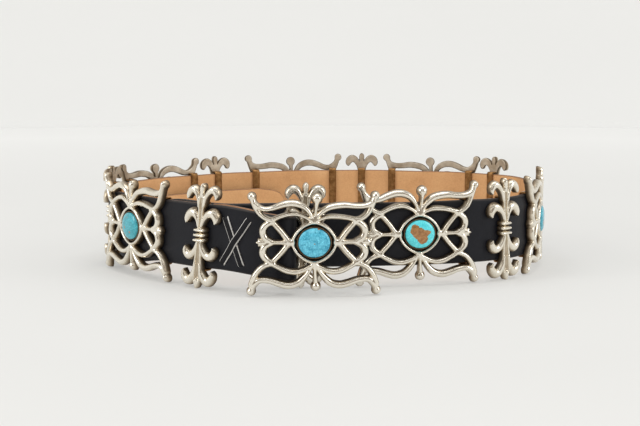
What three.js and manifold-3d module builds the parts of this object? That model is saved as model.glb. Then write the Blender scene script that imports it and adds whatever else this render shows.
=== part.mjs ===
// Concho belt: a black leather strap in a closed loop, with pierced butterfly castings that hold
// turquoise cabochons, and fleur-de-lis castings between them.
// Millimetres, +Z up. The loop stands on edge, and the buckle faces -Y. The feet of the fleurs and the
// tongue's lower edge are at z = 0.
import * as THREE from "three";
import { mergeVertices } from "three/addons/utils/BufferGeometryUtils.js";
import Module from "manifold-3d";

const wasm = await Module();
wasm.setup();

// Leather strap
const STRAP_WIDTH = 38;
const STRAP_THICKNESS = 3;
const STRAP_END_WIDTH = 36.8;
const STRAP_STEP = 8;
const RUN_END = 38.3;
const END_DROOP = 4.1;
const DROOP_LENGTH = 45;
const TAIL_LENGTH = 49;
const FOLD_EASE = 16;
const TONGUE_JOINS = 80;
const TONGUE_LENGTH = 262;
const TONGUE_SINK_LENGTH = 95;
const HOLE_RADIUS = 2.4;
const HOLE_SIDES = 6;
const HOLE_PITCH = 25;
const HOLE_COUNT = 3;
const FIRST_HOLE = 8;

// Gap between pieces that touch on the real belt, and the looser fit of the metal loops at the strap's edges
const CLEARANCE = 0.3;
const EDGE_CLEARANCE = 0.6;

// Butterfly casting, or concho: the span and rise are between the centres of its four tip balls
const CONCHO_SPAN = 71;
const CONCHO_RISE = 56.4;
const CONCHO_DEPTH = 4.8;
const CONCHO_LIFT = 0.3;
const STRAND_WIDTH = 2.7;
const TIP_BALL_RADIUS = 2.7;
const CREST_BALL_RADIUS = 3.2;
const CREST_HEIGHT = 25.2;
const CREST_DROP = 25;
const CREST_DROP_BALL_RADIUS = 2.9;
const BALL_TIP_REACH = 0.85;
const BALL_TIP_WIDTH = 0.45;

// Setting of the stone: half sizes across and up, on the centre line of the ring
const STONE_ACROSS = 8.8;
const STONE_UP = 8.3;
const STONE_RIM = 3.1;
const STONE_DOME = 1.7;
const STONE_SHOULDER = { share: 0.78, rise: 0.75 };
const STONE_TABLE = 0.42;
const BEZEL_WALL = 0.6;
const BEZEL_HEIGHT = 3.9;
const BACKPLATE = 0.9;
const RING_GAP = 0.8;
const RING_WIDTH = 2.2;
const SETTING_SIDES = 10;

// Fleur-de-lis casting: its rise and drop from the middle of its collar
const FLEUR_WIDTH = 22;
const FLEUR_RISE = 30.5;
const FLEUR_DROP = 32.2;
const FLEUR_DEPTH = 4.6;
const FLEUR_ABOVE_STRAP = 1.2;
const STEM_WIDTH = 4.4;
const STEM_WAIST = 0.85;
const BUD_WIDTH = 0.6;
const CURL_WIDTH = 2.9;
const CURL_TIP = 0.8;
const CURL_DEPTH = 3.9;
const CURL_REACH = 10.6;
const FOOT_WIDTH = 2.4;
const COLLAR_WIDTH = 8;
const COLLAR_BAND = 2.5;
const COLLAR_PITCH = 3;
const COLLAR_DEPTH = { ridge: 5, groove: 3.5 };

// Copper strap loops behind the castings
const LOOP_WIDTH = 5.5;
const LOOP_THICKNESS = 1;
const LOOP_SPREAD = 30.5;
const LOOP_WING_SHARE = 0.74;
const SOLDER_BITE = 1.2;

// Buckle: the bar that holds the strap's end stands behind the left wing, the hook behind the right side
const BAR_ACROSS = 14.5;
const BAR_RADIUS = 1.3;
const WIRE_SIDES = 8;
const BUCKLE_TURN = 4;
const BUCKLE_BOW_RADIUS = 210;
const BUCKLE_TOP = { drop: 2.2, from: 12, to: 25 };
const HOOK_ACROSS = 13.2;
const HOOK_REACH = 8;
const HOOK_TIP = 6;
const HOOK_RADIUS = 1.4;
const ELBOW = 0.8;
const POST_TOP = 24.6;
const POST_BOTTOM = -24.8;

// Lace that ties the folded end. Its corners are distances from the bar and above the strap's middle: top
// right, bottom left, bottom right and top left.
const LACE_WIDTH = 4;
const LACE_THICKNESS = 1;
const LACE_CORNERS = [
  { across: 22.5, up: 13.5 },
  { across: 41, up: -14.5 },
  { across: 29, up: -14.5 },
  { across: 38.6, up: 13.5 },
];

// Plan of the loop as shares of its half width and half depth, from the buckle's bar round to the
// left, the back and the right, to the front again behind the buckle
const PLAN_ASPECT = 0.857;
const PLAN = [
  { right: -0.171, back: -0.996 },
  { right: -0.44, back: -0.903 },
  { right: -0.668, back: -0.695 },
  { right: -0.87, back: -0.434 },
  { right: -1.021, back: -0.177 },
  { right: -1.045, back: 0.088 },
  { right: -0.928, back: 0.367 },
  { right: -0.704, back: 0.637 },
  { right: -0.425, back: 0.86 },
  { right: -0.102, back: 0.967 },
  { right: 0.239, back: 0.969 },
  { right: 0.559, back: 0.899 },
  { right: 0.808, back: 0.771 },
  { right: 0.955, back: 0.57 },
  { right: 1.002, back: 0.321 },
  { right: 0.978, back: 0.046 },
  { right: 0.934, back: -0.231 },
  { right: 0.853, back: -0.469 },
  { right: 0.684, back: -0.635 },
  { right: 0.407, back: -0.736 },
  { right: 0.042, back: -0.787 },
  { right: -0.387, back: -0.819 },
];

// Order of the castings along the strap: space is the clear distance from the one before, or from the bar
const CASTINGS = [
  { name: "fleur_1", kind: "fleur", space: 44.5, lean: -6 },
  { name: "concho_left", kind: "concho", space: 15.7, lean: 0 },
  { name: "fleur_2", kind: "fleur", space: 27.8, lean: 0 },
  { name: "concho_back_left", kind: "concho", space: 1.2, lean: 0 },
  { name: "fleur_3", kind: "fleur", space: 2.4, lean: 0 },
  { name: "concho_back", kind: "concho", space: 13.3, lean: 0 },
  { name: "fleur_4", kind: "fleur", space: 3.8, lean: 0 },
  { name: "concho_back_right", kind: "concho", space: 4.7, lean: 0 },
  { name: "fleur_5", kind: "fleur", space: 1.1, lean: 0 },
  { name: "concho_right", kind: "concho", space: 65.1, lean: 0 },
  { name: "fleur_6", kind: "fleur", space: 10.3, lean: 2 },
  { name: "concho_front", kind: "concho", space: 8.4, lean: 0 },
  { name: "fleur_7", kind: "fleur", space: 19.8, lean: -3 },
];

// Cast strands of one half of a concho, as shares of half the span and half the rise: the outer and inner
// lines of the upper and lower wing, three rays and the two lobes of the clover
const STRANDS = [
  {
    ball: true,
    rows: [
      { across: 0, up: 0.56 },
      { across: -0.18, up: 0.81 },
      { across: -0.42, up: 0.875 },
      { across: -0.73, up: 0.72 },
      { across: -0.89, up: 0.79 },
      { across: -0.98, up: 1 },
    ],
  },
  {
    ball: false,
    rows: [
      { across: 0, up: 0.45 },
      { across: -0.32, up: 0.61 },
      { across: -0.5, up: 0.55 },
      { across: -0.668, up: 0.45 },
      { across: -0.84, up: 0.57 },
      { across: -0.92, up: 0.8 },
    ],
  },
  {
    ball: true,
    rows: [
      { across: 0, up: -0.46 },
      { across: -0.2, up: -0.76 },
      { across: -0.42, up: -0.88 },
      { across: -0.67, up: -0.79 },
      { across: -0.87, up: -0.77 },
      { across: -1, up: -0.98 },
    ],
  },
  {
    ball: false,
    rows: [
      { across: 0, up: -0.46 },
      { across: -0.36, up: -0.61 },
      { across: -0.52, up: -0.54 },
      { across: -0.7, up: -0.43 },
      { across: -0.88, up: -0.56 },
      { across: -0.99, up: -0.86 },
    ],
  },
  {
    ball: false,
    rows: [
      { across: -0.36, up: 0 },
      { across: -0.53, up: 0.27 },
      { across: -0.668, up: 0.45 },
    ],
  },
  {
    ball: false,
    rows: [
      { across: -0.36, up: 0 },
      { across: -0.56, up: 0 },
      { across: -0.76, up: 0 },
      { across: -0.85, up: 0 },
      { across: -0.93, up: 0 },
    ],
  },
  {
    ball: false,
    rows: [
      { across: -0.36, up: 0 },
      { across: -0.54, up: -0.26 },
      { across: -0.7, up: -0.43 },
    ],
  },
  {
    ball: false,
    rows: [
      { across: -0.76, up: 0 },
      { across: -0.83, up: 0.22 },
      { across: -0.668, up: 0.45 },
    ],
  },
  {
    ball: false,
    rows: [
      { across: -0.76, up: 0 },
      { across: -0.84, up: -0.22 },
      { across: -0.7, up: -0.43 },
    ],
  },
];

// Curls of the left half of a fleur, as shares of its half width and its rise, or its drop below the collar
const CURLS = [
  [
    { across: -0.05, up: 0.5 },
    { across: -0.5, up: 0.92 },
    { across: -0.88, up: 0.87 },
    { across: -0.82, up: 0.69 },
  ],
  [
    { across: -0.05, up: 0.1 },
    { across: -0.48, up: 0.47 },
    { across: -0.9, up: 0.42 },
    { across: -0.82, up: 0.22 },
  ],
  [
    { across: -0.05, up: -0.1 },
    { across: -0.45, up: -0.46 },
    { across: -0.9, up: -0.4 },
    { across: -0.82, up: -0.22 },
  ],
  [
    { across: -0.05, up: -0.5 },
    { across: -0.4, up: -0.91 },
    { across: -0.86, up: -0.85 },
    { across: -0.85, up: -0.66 },
  ],
];

// Tongue's end: the strap's width as a share, at a distance from the tip
const TIP_TAPER = [
  { back: 0, width: 0.6 },
  { back: 3, width: 0.78 },
  { back: 9, width: 0.91 },
  { back: 20, width: 1 },
];

const silver = new THREE.MeshStandardMaterial({ color: 0xc9c3b6, roughness: 0.32, metalness: 1 });
const leather = new THREE.MeshStandardMaterial({ color: 0x1a191b, roughness: 0.5, metalness: 0 });
const turquoise = new THREE.MeshStandardMaterial({ color: 0x3fb0bf, roughness: 0.35, metalness: 0 });

const strapMid = FLEUR_DROP - FLEUR_ABOVE_STRAP;
const conchoMid = strapMid + CONCHO_LIFT;
const conchoWidth = CONCHO_SPAN + 2 * TIP_BALL_RADIUS;
const railOffset = STRAP_THICKNESS / 2 + CLEARANCE + CONCHO_DEPTH / 2;

function smooth(from, to, value) {
  return THREE.MathUtils.smoothstep(value, from, to);
}

// A plan line with its length along the way. The outward side is to the left of travel.
class Rail {
  constructor(points) {
    this.points = points;
    this.lengths = [0];
    for (let i = 1; i < points.length; i++) {
      this.lengths.push(this.lengths[i - 1] + points[i].distanceTo(points[i - 1]));
    }
    this.length = this.lengths.at(-1);
  }

  at(distance) {
    const last = this.points.length - 2;
    let i = this.lengths.findIndex((length) => length > distance) - 1;
    i = distance >= this.length ? last : Math.max(i, 0);
    const share = (distance - this.lengths[i]) / (this.lengths[i + 1] - this.lengths[i]);
    const point = this.points[i].clone().lerp(this.points[i + 1], share);
    const before = this.direction(share < 0.5 ? i - 1 : i);
    const after = this.direction(share < 0.5 ? i : i + 1);
    const blend = share < 0.5 ? share + 0.5 : share - 0.5;
    const along = before.lerp(after, blend).normalize();
    return { point, along, outward: new THREE.Vector2(-along.y, along.x) };
  }

  direction(index) {
    const i = THREE.MathUtils.clamp(index, 0, this.points.length - 2);
    return this.points[i + 1].clone().sub(this.points[i]).normalize();
  }

  // Angle that the line turns through, clockwise seen from above
  turn() {
    let sum = 0;
    for (let i = 1; i + 1 < this.points.length; i++) {
      sum -= this.direction(i - 1).cross(this.direction(i));
    }
    return sum;
  }

  offset(distance) {
    return new Rail(this.lengths.map((length) => this.shifted(length, distance)));
  }

  shifted(length, distance) {
    const place = this.at(length);
    return place.point.addScaledVector(place.outward, distance);
  }
}

// Uniform cubic B-spline through the plan's table
function planPoints(halfWidth, halfDepth) {
  const corners = PLAN.map((row) => new THREE.Vector2(row.right * halfWidth, row.back * halfDepth));
  corners.unshift(corners[0].clone().multiplyScalar(2).sub(corners[1]));
  corners.push(corners.at(-1).clone().multiplyScalar(2).sub(corners.at(-2)));
  const steps = 24;
  const points = [];
  for (let i = 0; i + 3 < corners.length; i++) {
    for (let step = 0; step < steps; step++) {
      points.push(splinePoint(corners.slice(i, i + 4), step / steps));
    }
  }
  points.push(splinePoint(corners.slice(-4), 1));
  return points;
}

function splinePoint([a, b, c, d], t) {
  const r = 1 - t;
  return new THREE.Vector2()
    .addScaledVector(a, (r * r * r) / 6)
    .addScaledVector(b, (3 * t * t * t - 6 * t * t + 4) / 6)
    .addScaledVector(c, (-3 * t * t * t + 3 * t * t + 3 * t + 1) / 6)
    .addScaledVector(d, (t * t * t) / 6);
}

// Distance of each casting's middle from the bar, on the line of the castings
function castingStations() {
  let edge = 0;
  return CASTINGS.map((row) => {
    const half = (row.kind === "fleur" ? FLEUR_WIDTH : conchoWidth) / 2;
    const middle = edge + row.space + half;
    edge = middle + half;
    return { ...row, middle };
  });
}

const stations = castingStations();
const runLength = stations.at(-1).middle + RUN_END;
const unitRail = new Rail(planPoints(1, PLAN_ASPECT));
const planScale = (runLength - railOffset * unitRail.turn()) / unitRail.length;
const run = new Rail(unitRail.points.map((point) => point.clone().multiplyScalar(planScale)));
const castingRail = run.offset(railOffset);

// Closed solids as manifold-3d objects, and back to three.js geometry
function solid(geometry) {
  const bare = new THREE.BufferGeometry();
  bare.setAttribute("position", geometry.getAttribute("position"));
  bare.setIndex(geometry.getIndex());
  const merged = mergeVertices(bare, 1e-4);
  const mesh = new wasm.Mesh({
    numProp: 3,
    vertProperties: new Float32Array(merged.getAttribute("position").array),
    triVerts: new Uint32Array(merged.getIndex().array),
  });
  return new wasm.Manifold(mesh);
}

function joined(solids) {
  return solids.reduce((whole, next) => whole.add(next));
}

// Turns a solid back into geometry, moving each vertex by the given placing
function placed(body, place) {
  const mesh = body.getMesh();
  const count = mesh.vertProperties.length / mesh.numProp;
  const positions = new Float32Array(count * 3);
  for (let i = 0; i < count; i++) {
    const [x, y, z] = mesh.vertProperties.slice(i * mesh.numProp, i * mesh.numProp + 3);
    const point = place(x, y, z);
    positions.set([point.x, point.y, point.z], i * 3);
  }
  const geometry = new THREE.BufferGeometry();
  geometry.setAttribute("position", new THREE.BufferAttribute(positions, 3));
  geometry.setIndex(new THREE.BufferAttribute(new Uint32Array(mesh.triVerts), 1));
  return geometry;
}

function polyhedron(points, faces) {
  const geometry = new THREE.BufferGeometry();
  geometry.setAttribute("position", new THREE.Float32BufferAttribute(points.flat(), 3));
  const fans = faces.map((face) => face.slice(2).flatMap((_, i) => [face[0], face[i + 1], face[i + 2]]));
  geometry.setIndex(fans.flat());
  return solid(geometry);
}

// Castings are built flat: across is x, depth out of the strap is y, and up is z
function block(across, depth, up) {
  const [x0, x1] = across;
  const [y0, y1] = depth;
  const [z0, z1] = up;
  const box = new THREE.BoxGeometry(x1 - x0, y1 - y0, z1 - z0);
  box.translate((x0 + x1) / 2, (y0 + y1) / 2, (z0 + z1) / 2);
  return solid(box);
}

// A cast strand along a flat line, with a flat back and a ridge, its half width given at each point
function strand(line, halfWidths, depth) {
  const points = [];
  const faces = [];
  line.forEach((point, i) => {
    const before = line[Math.max(i - 1, 0)];
    const after = line[Math.min(i + 1, line.length - 1)];
    const along = after.clone().sub(before).normalize();
    const side = new THREE.Vector2(-along.y, along.x).multiplyScalar(halfWidths[i]);
    points.push([point.x + side.x, 0, point.y + side.y]);
    points.push([point.x - side.x, 0, point.y - side.y]);
    points.push([point.x, depth, point.y]);
  });
  for (let i = 0; i + 1 < line.length; i++) {
    const [left, right, ridge] = [3 * i, 3 * i + 1, 3 * i + 2];
    faces.push([left, right, right + 3, left + 3]);
    faces.push([right, ridge, ridge + 3, right + 3]);
    faces.push([ridge, left, left + 3, ridge + 3]);
  }
  const end = 3 * (line.length - 1);
  faces.push([0, 2, 1]);
  faces.push([end, end + 1, end + 2]);
  return polyhedron(points, faces);
}

// A curl drawn from a table of shares, on both sides of the middle, with a narrower tip
function curlPair(rows, halfAcross, reach) {
  return [-1, 1].map((side) => {
    const line = rows.map((row) => {
      return new THREE.Vector2(-side * row.across * halfAcross, Math.abs(row.up) * reach);
    });
    const halves = line.map((_, i) => (CURL_WIDTH / 2) * (i === line.length - 1 ? CURL_TIP : 1));
    return strand(line, halves, CURL_DEPTH);
  });
}

// A ring or dish about the middle of the setting: rows hold how far outside the stone's edge, and the depth
function setting(rows, sides) {
  const points = [];
  const faces = [];
  rows.forEach((row, level) => {
    for (let i = 0; i < sides; i++) {
      const angle = (2 * Math.PI * i) / sides;
      const across = (row.share ?? 1) * STONE_ACROSS + (row.beyond ?? 0);
      const up = (row.share ?? 1) * STONE_UP + (row.beyond ?? 0);
      points.push([across * Math.cos(angle), row.depth, up * Math.sin(angle)]);
    }
    if (level > 0) {
      faces.push(...band(level - 1, level, sides));
    }
  });
  return { points, faces };
}

function band(lower, upper, sides) {
  return Array.from({ length: sides }, (_, i) => {
    const next = (i + 1) % sides;
    return [upper * sides + i, upper * sides + next, lower * sides + next, lower * sides + i];
  });
}

function settingPlug(rows, sides) {
  const { points, faces } = setting(rows, sides);
  const last = (rows.length - 1) * sides;
  faces.push(Array.from({ length: sides }, (_, i) => i));
  faces.push(Array.from({ length: sides }, (_, i) => last + sides - 1 - i));
  return polyhedron(points, faces);
}

const bezelInner = CLEARANCE;
const bezelOuter = bezelInner + BEZEL_WALL;
const ringInner = bezelOuter + RING_GAP;
const ringMiddle = ringInner + RING_WIDTH / 2;
const ringOuter = ringInner + RING_WIDTH;

// The ring round the stone, the backplate and the bezel, from the ring's outer foot to the stone's seat
function stoneSetting() {
  return settingPlug(
    [
      { share: 0.5, depth: 0 },
      { beyond: ringOuter, depth: 0 },
      { beyond: ringMiddle, depth: CONCHO_DEPTH },
      { beyond: bezelOuter, depth: BACKPLATE },
      { beyond: bezelOuter, depth: BEZEL_HEIGHT },
      { beyond: bezelInner, depth: BEZEL_HEIGHT },
      { beyond: bezelInner, depth: BACKPLATE },
    ],
    SETTING_SIDES,
  );
}

// A strand's line and half widths, carried on through a cast ball at its end
function withBall(line, radius) {
  const end = line.at(-1);
  const along = end.clone().sub(line.at(-2)).normalize();
  const tip = end.clone().addScaledVector(along, BALL_TIP_REACH * radius);
  const points = [...line, tip];
  const halves = points.map(() => STRAND_WIDTH / 2);
  halves[points.length - 2] = radius;
  halves[points.length - 1] = BALL_TIP_WIDTH * radius;
  return strand(points, halves, CONCHO_DEPTH);
}

// One butterfly casting with its setting, flat
function conchoCasting() {
  const halfAcross = CONCHO_SPAN / 2;
  const halfUp = CONCHO_RISE / 2;
  const parts = [stoneSetting()];
  for (const { ball, rows } of STRANDS) {
    for (const side of [-1, 1]) {
      const line = rows.map((row) => new THREE.Vector2(-side * row.across * halfAcross, row.up * halfUp));
      const halves = line.map(() => STRAND_WIDTH / 2);
      parts.push(ball ? withBall(line, TIP_BALL_RADIUS) : strand(line, halves, CONCHO_DEPTH));
    }
  }
  const crests = [
    { end: CREST_HEIGHT, radius: CREST_BALL_RADIUS },
    { end: -CREST_DROP, radius: CREST_DROP_BALL_RADIUS },
  ];
  for (const { end, radius } of crests) {
    const foot = Math.sign(end) * (STONE_UP + ringMiddle);
    parts.push(withBall([new THREE.Vector2(0, foot), new THREE.Vector2(0, end)], radius));
  }
  return joined(parts);
}

function cabochon() {
  const seat = BACKPLATE + CLEARANCE;
  return settingPlug(
    [
      { depth: seat, share: 1 },
      { depth: seat + STONE_RIM, share: 1 },
      { depth: seat + STONE_RIM + STONE_SHOULDER.rise * STONE_DOME, share: STONE_SHOULDER.share },
      { depth: seat + STONE_RIM + STONE_DOME, share: STONE_TABLE },
    ],
    SETTING_SIDES,
  );
}

// A flat outline of (depth, up) points, drawn out along the strap about its middle
function drawnOut(outline, width, across) {
  const shape = new THREE.Shape(outline.map(([depth, up]) => new THREE.Vector2(depth, up)));
  const geometry = new THREE.ExtrudeGeometry(shape, { depth: width, bevelEnabled: false });
  const turn = new THREE.Matrix4().makeBasis(
    new THREE.Vector3(0, 1, 0),
    new THREE.Vector3(0, 0, 1),
    new THREE.Vector3(1, 0, 0),
  );
  geometry.applyMatrix4(turn);
  geometry.translate(across - width / 2, 0, 0);
  geometry.deleteAttribute("normal");
  geometry.deleteAttribute("uv");
  return solid(geometry);
}

// A loop round the strap. Its legs bite into the casting, and lugs carry them on to the wings' heights.
function strapLoop(across, middle, wingTop, wingBottom) {
  const top = strapMid + STRAP_WIDTH / 2 + EDGE_CLEARANCE - middle;
  const bottom = strapMid - STRAP_WIDTH / 2 - EDGE_CLEARANCE - middle;
  const inner = -(STRAP_THICKNESS + 2 * CLEARANCE);
  const above = top + LOOP_THICKNESS;
  const below = bottom - LOOP_THICKNESS;
  const upperLug = [[SOLDER_BITE, Math.max(wingTop, above)]];
  if (wingTop > above) {
    upperLug.push([0, wingTop], [0, above]);
  }
  const lowerLug = [[SOLDER_BITE, Math.min(wingBottom, below)]];
  if (wingBottom < below) {
    lowerLug.unshift([0, below], [0, wingBottom]);
  }
  const outline = [
    [SOLDER_BITE, bottom],
    [inner, bottom],
    [inner, top],
    [SOLDER_BITE, top],
    ...upperLug,
    [inner - LOOP_THICKNESS, above],
    [inner - LOOP_THICKNESS, below],
    ...lowerLug,
  ];
  return drawnOut(outline, LOOP_WIDTH, across);
}

// Three rounded bands, one above the other, as a zigzag outline
function collar() {
  const rows = [-1, 0, 1].flatMap((place) => {
    const middle = place * COLLAR_PITCH;
    return [
      [COLLAR_DEPTH.groove, middle - COLLAR_BAND / 2],
      [COLLAR_DEPTH.ridge, middle],
      [COLLAR_DEPTH.groove, middle + COLLAR_BAND / 2],
    ];
  });
  const end = COLLAR_PITCH + COLLAR_BAND / 2;
  return drawnOut([[0, -end], ...rows, [0, end]], COLLAR_WIDTH, 0);
}

function concho() {
  const wingHeight = LOOP_WING_SHARE * (CONCHO_RISE / 2);
  const loops = [-LOOP_SPREAD, LOOP_SPREAD].map((across) =>
    strapLoop(across, conchoMid, wingHeight, -wingHeight),
  );
  return joined([conchoCasting(), ...loops]);
}

// One fleur-de-lis casting, flat, with its own loop
function fleur(lean) {
  const stemRows = [
    { up: FLEUR_RISE, width: BUD_WIDTH },
    { up: 0.88 * FLEUR_RISE, width: STEM_WIDTH },
    { up: 0.6 * FLEUR_RISE, width: STEM_WAIST * STEM_WIDTH },
    { up: 0, width: STEM_WIDTH },
    { up: -0.6 * FLEUR_DROP, width: STEM_WAIST * STEM_WIDTH },
    { up: -0.88 * FLEUR_DROP, width: STEM_WIDTH },
    { up: -FLEUR_DROP, width: FOOT_WIDTH },
  ];
  const stem = strand(
    stemRows.map((row) => new THREE.Vector2(0, row.up)),
    stemRows.map((row) => row.width / 2),
    FLEUR_DEPTH,
  );
  const curls = CURLS.flatMap((rows) => {
    return curlPair(rows, CURL_REACH, rows[0].up > 0 ? FLEUR_RISE : -FLEUR_DROP);
  });
  const front = joined([stem, ...curls, collar()]).rotate([0, lean, 0]);
  const lowest = front.boundingBox().min[2];
  const seated = front.translate([0, 0, -FLEUR_DROP - lowest]);
  return joined([seated, strapLoop(0, FLEUR_DROP, 0, 0)]);
}

// The buckle's own line is a shallow bow, set out from the bar that the strap folds round
const barPlace = run.at(0);
const foldRadius = BAR_RADIUS + CLEARANCE + STRAP_THICKNESS / 2;
const foldOutside = foldRadius + STRAP_THICKNESS / 2;
const barStandoff = foldOutside + CLEARANCE + (foldOutside * foldOutside) / (2 * BUCKLE_BOW_RADIUS);
const barFacing = THREE.MathUtils.degToRad(BUCKLE_TURN) - BAR_ACROSS / BUCKLE_BOW_RADIUS;

// Round wire between two flat points, for the bar and the hook
function wire(from, to, radius, sides = WIRE_SIDES) {
  const start = new THREE.Vector3(...from);
  const end = new THREE.Vector3(...to);
  const along = end.clone().sub(start);
  const cylinder = new THREE.CylinderGeometry(radius, radius, along.length(), sides);
  const upright = new THREE.Vector3(0, 1, 0);
  const turn = new THREE.Quaternion().setFromUnitVectors(upright, along.clone().normalize());
  cylinder.applyQuaternion(turn);
  cylinder.translate(...start.add(end).multiplyScalar(0.5));
  return solid(cylinder);
}

function buckle() {
  const barDepth = -barStandoff;
  const posts = [POST_BOTTOM, POST_TOP].map((up) =>
    wire([BAR_ACROSS, SOLDER_BITE, up], [BAR_ACROSS, barDepth - ELBOW, up], BAR_RADIUS),
  );
  return joined([
    conchoCasting(),
    ...posts,
    wire([BAR_ACROSS, barDepth, POST_BOTTOM], [BAR_ACROSS, barDepth, POST_TOP], BAR_RADIUS),
    wire([-HOOK_ACROSS, SOLDER_BITE, 0], [-HOOK_ACROSS, -HOOK_REACH - ELBOW, 0], HOOK_RADIUS),
    wire([-HOOK_ACROSS, -HOOK_REACH, 0], [-HOOK_ACROSS - HOOK_TIP, -HOOK_REACH, 0], HOOK_RADIUS),
  ]);
}

// Layers of the strap as plan points with the height of the strap's middle and its width there
const linerOffset = STRAP_THICKNESS + CLEARANCE;
const loopDepth = LOOP_THICKNESS + 2 * CLEARANCE;

function outerOffset(distance) {
  return foldRadius * (1 - smooth(0, FOLD_EASE, distance));
}

function tailOffset(distance) {
  const ease = smooth(0, FOLD_EASE, distance);
  return -foldRadius * (1 - ease) - linerOffset * ease;
}

function tongueOffset(distance) {
  const near = 2 * linerOffset + loopDepth;
  const far = linerOffset + loopDepth + CLEARANCE;
  return -THREE.MathUtils.lerp(near, far, smooth(TONGUE_JOINS, TONGUE_JOINS + TAIL_LENGTH, distance));
}

// Height of the tongue's middle, as it sinks to the surface inside the loop
function tongueMiddle(distance) {
  return THREE.MathUtils.lerp(
    strapMid,
    STRAP_WIDTH / 2,
    smooth(TONGUE_JOINS, TONGUE_JOINS + TONGUE_SINK_LENGTH, distance),
  );
}

function endSection(point, distance) {
  const ease = smooth(0, DROOP_LENGTH, distance);
  return {
    point,
    middle: strapMid - END_DROOP * (1 - ease),
    width: THREE.MathUtils.lerp(STRAP_END_WIDTH, STRAP_WIDTH, ease),
  };
}

function tipShare(back) {
  const after = TIP_TAPER.findIndex((row) => row.back >= back);
  if (after < 0) {
    return 1;
  }
  if (after === 0) {
    return TIP_TAPER[0].width;
  }
  const [near, far] = [TIP_TAPER[after - 1], TIP_TAPER[after]];
  return THREE.MathUtils.mapLinear(back, near.back, far.back, near.width, far.width);
}

// Distances from one end to the other in even steps
function steps(from, to, size) {
  const count = Math.max(1, Math.round(Math.abs(to - from) / size));
  return Array.from({ length: count + 1 }, (_, i) => THREE.MathUtils.lerp(from, to, i / count));
}

function strapSections() {
  const sections = [];
  for (const distance of steps(TAIL_LENGTH, 0, STRAP_STEP)) {
    sections.push(endSection(run.shifted(distance, tailOffset(distance)), distance));
  }
  const foldSteps = 6;
  for (let i = 1; i < foldSteps; i++) {
    const angle = (Math.PI * i) / foldSteps;
    const point = barPlace.point
      .clone()
      .addScaledVector(barPlace.outward, -foldRadius * Math.cos(angle))
      .addScaledVector(barPlace.along, -foldRadius * Math.sin(angle));
    sections.push(endSection(point, 0));
  }
  for (const distance of steps(0, run.length, STRAP_STEP)) {
    sections.push(endSection(run.shifted(distance, outerOffset(distance)), distance));
  }
  const leave = run.at(run.length);
  const arrive = run.at(TONGUE_JOINS);
  const landing = run.shifted(TONGUE_JOINS, tongueOffset(TONGUE_JOINS));
  const pull = landing.distanceTo(leave.point) / 3;
  const link = new THREE.CubicBezierCurve(
    leave.point,
    leave.point.clone().addScaledVector(leave.along, pull),
    landing.clone().addScaledVector(arrive.along, -pull),
    landing,
  );
  const linkSteps = Math.round(link.getLength() / STRAP_STEP);
  for (const point of link.getSpacedPoints(linkSteps).slice(1)) {
    sections.push({ point, middle: strapMid, width: STRAP_WIDTH });
  }
  const tongueEnd = TONGUE_JOINS + TONGUE_LENGTH;
  const stops = [...steps(TONGUE_JOINS, tongueEnd - TIP_TAPER.at(-1).back, STRAP_STEP).slice(1)];
  stops.push(...TIP_TAPER.slice(0, -1).toReversed().map((row) => tongueEnd - row.back));
  for (const distance of stops) {
    sections.push({
      point: run.shifted(distance, tongueOffset(distance)),
      middle: tongueMiddle(distance),
      width: STRAP_WIDTH * tipShare(tongueEnd - distance),
    });
  }
  return sections;
}

function sweptStrap(sections) {
  const line = new Rail(sections.map((section) => section.point));
  const points = sections.flatMap((section, i) => {
    const { outward } = line.at(line.lengths[i]);
    const low = section.middle - section.width / 2;
    const high = section.middle + section.width / 2;
    return [[1, low], [1, high], [-1, high], [-1, low]].map(([side, height]) => {
      const corner = section.point.clone().addScaledVector(outward, (side * STRAP_THICKNESS) / 2);
      return [corner.x, corner.y, height];
    });
  });
  const faces = [[0, 3, 2, 1]];
  for (let i = 0; i + 1 < sections.length; i++) {
    for (let corner = 0; corner < 4; corner++) {
      const next = (corner + 1) % 4;
      faces.push([4 * i + corner, 4 * i + next, 4 * i + 4 + next, 4 * i + 4 + corner]);
    }
  }
  const end = 4 * (sections.length - 1);
  faces.push([end, end + 1, end + 2, end + 3]);
  return polyhedron(points, faces);
}

// Places a flat solid of the folded end: across is the distance from the bar, depth from the outer face
function onEnd(across, depth, up) {
  const { point, outward } = run.at(across);
  const reach = outerOffset(across) + STRAP_THICKNESS / 2 + depth;
  const middle = endSection(point, across).middle;
  return new THREE.Vector3(point.x + outward.x * reach, point.y + outward.y * reach, middle + up);
}

function moved(body, place) {
  return solid(placed(body, place));
}

function laceLegs(clearance) {
  const half = LACE_WIDTH / 2 + clearance;
  const thick = LACE_THICKNESS / 2 + clearance;
  const depth = [-2 * linerOffset - 2 * CLEARANCE - LACE_THICKNESS / 2, CLEARANCE + LACE_THICKNESS / 2];
  return LACE_CORNERS.map(({ across, up }) => {
    return block([across - half, across + half], depth, [up - thick, up + thick]);
  });
}

// A flat run of lace from one slot to another, outside or inside the two layers
function laceRun(from, to, depth, pieces) {
  const start = new THREE.Vector2(from.across, from.up);
  const end = new THREE.Vector2(to.across, to.up);
  const along = end.clone().sub(start).normalize();
  const side = new THREE.Vector2(-along.y, along.x).multiplyScalar(LACE_WIDTH / 2);
  const points = [];
  const faces = [[3, 2, 1, 0]];
  for (let i = 0; i <= pieces; i++) {
    const middle = start.clone().lerp(end, i / pieces);
    for (const [edge, level] of [[1, 0], [-1, 0], [-1, 1], [1, 1]]) {
      points.push([middle.x + edge * side.x, depth + level * LACE_THICKNESS, middle.y + edge * side.y]);
    }
    if (i > 0) {
      for (let corner = 0; corner < 4; corner++) {
        const next = (corner + 1) % 4;
        const low = 4 * (i - 1);
        faces.push([low + corner, low + next, low + 4 + next, low + 4 + corner]);
      }
    }
  }
  const last = 4 * pieces;
  faces.push([last, last + 1, last + 2, last + 3]);
  return polyhedron(points, faces);
}

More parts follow.
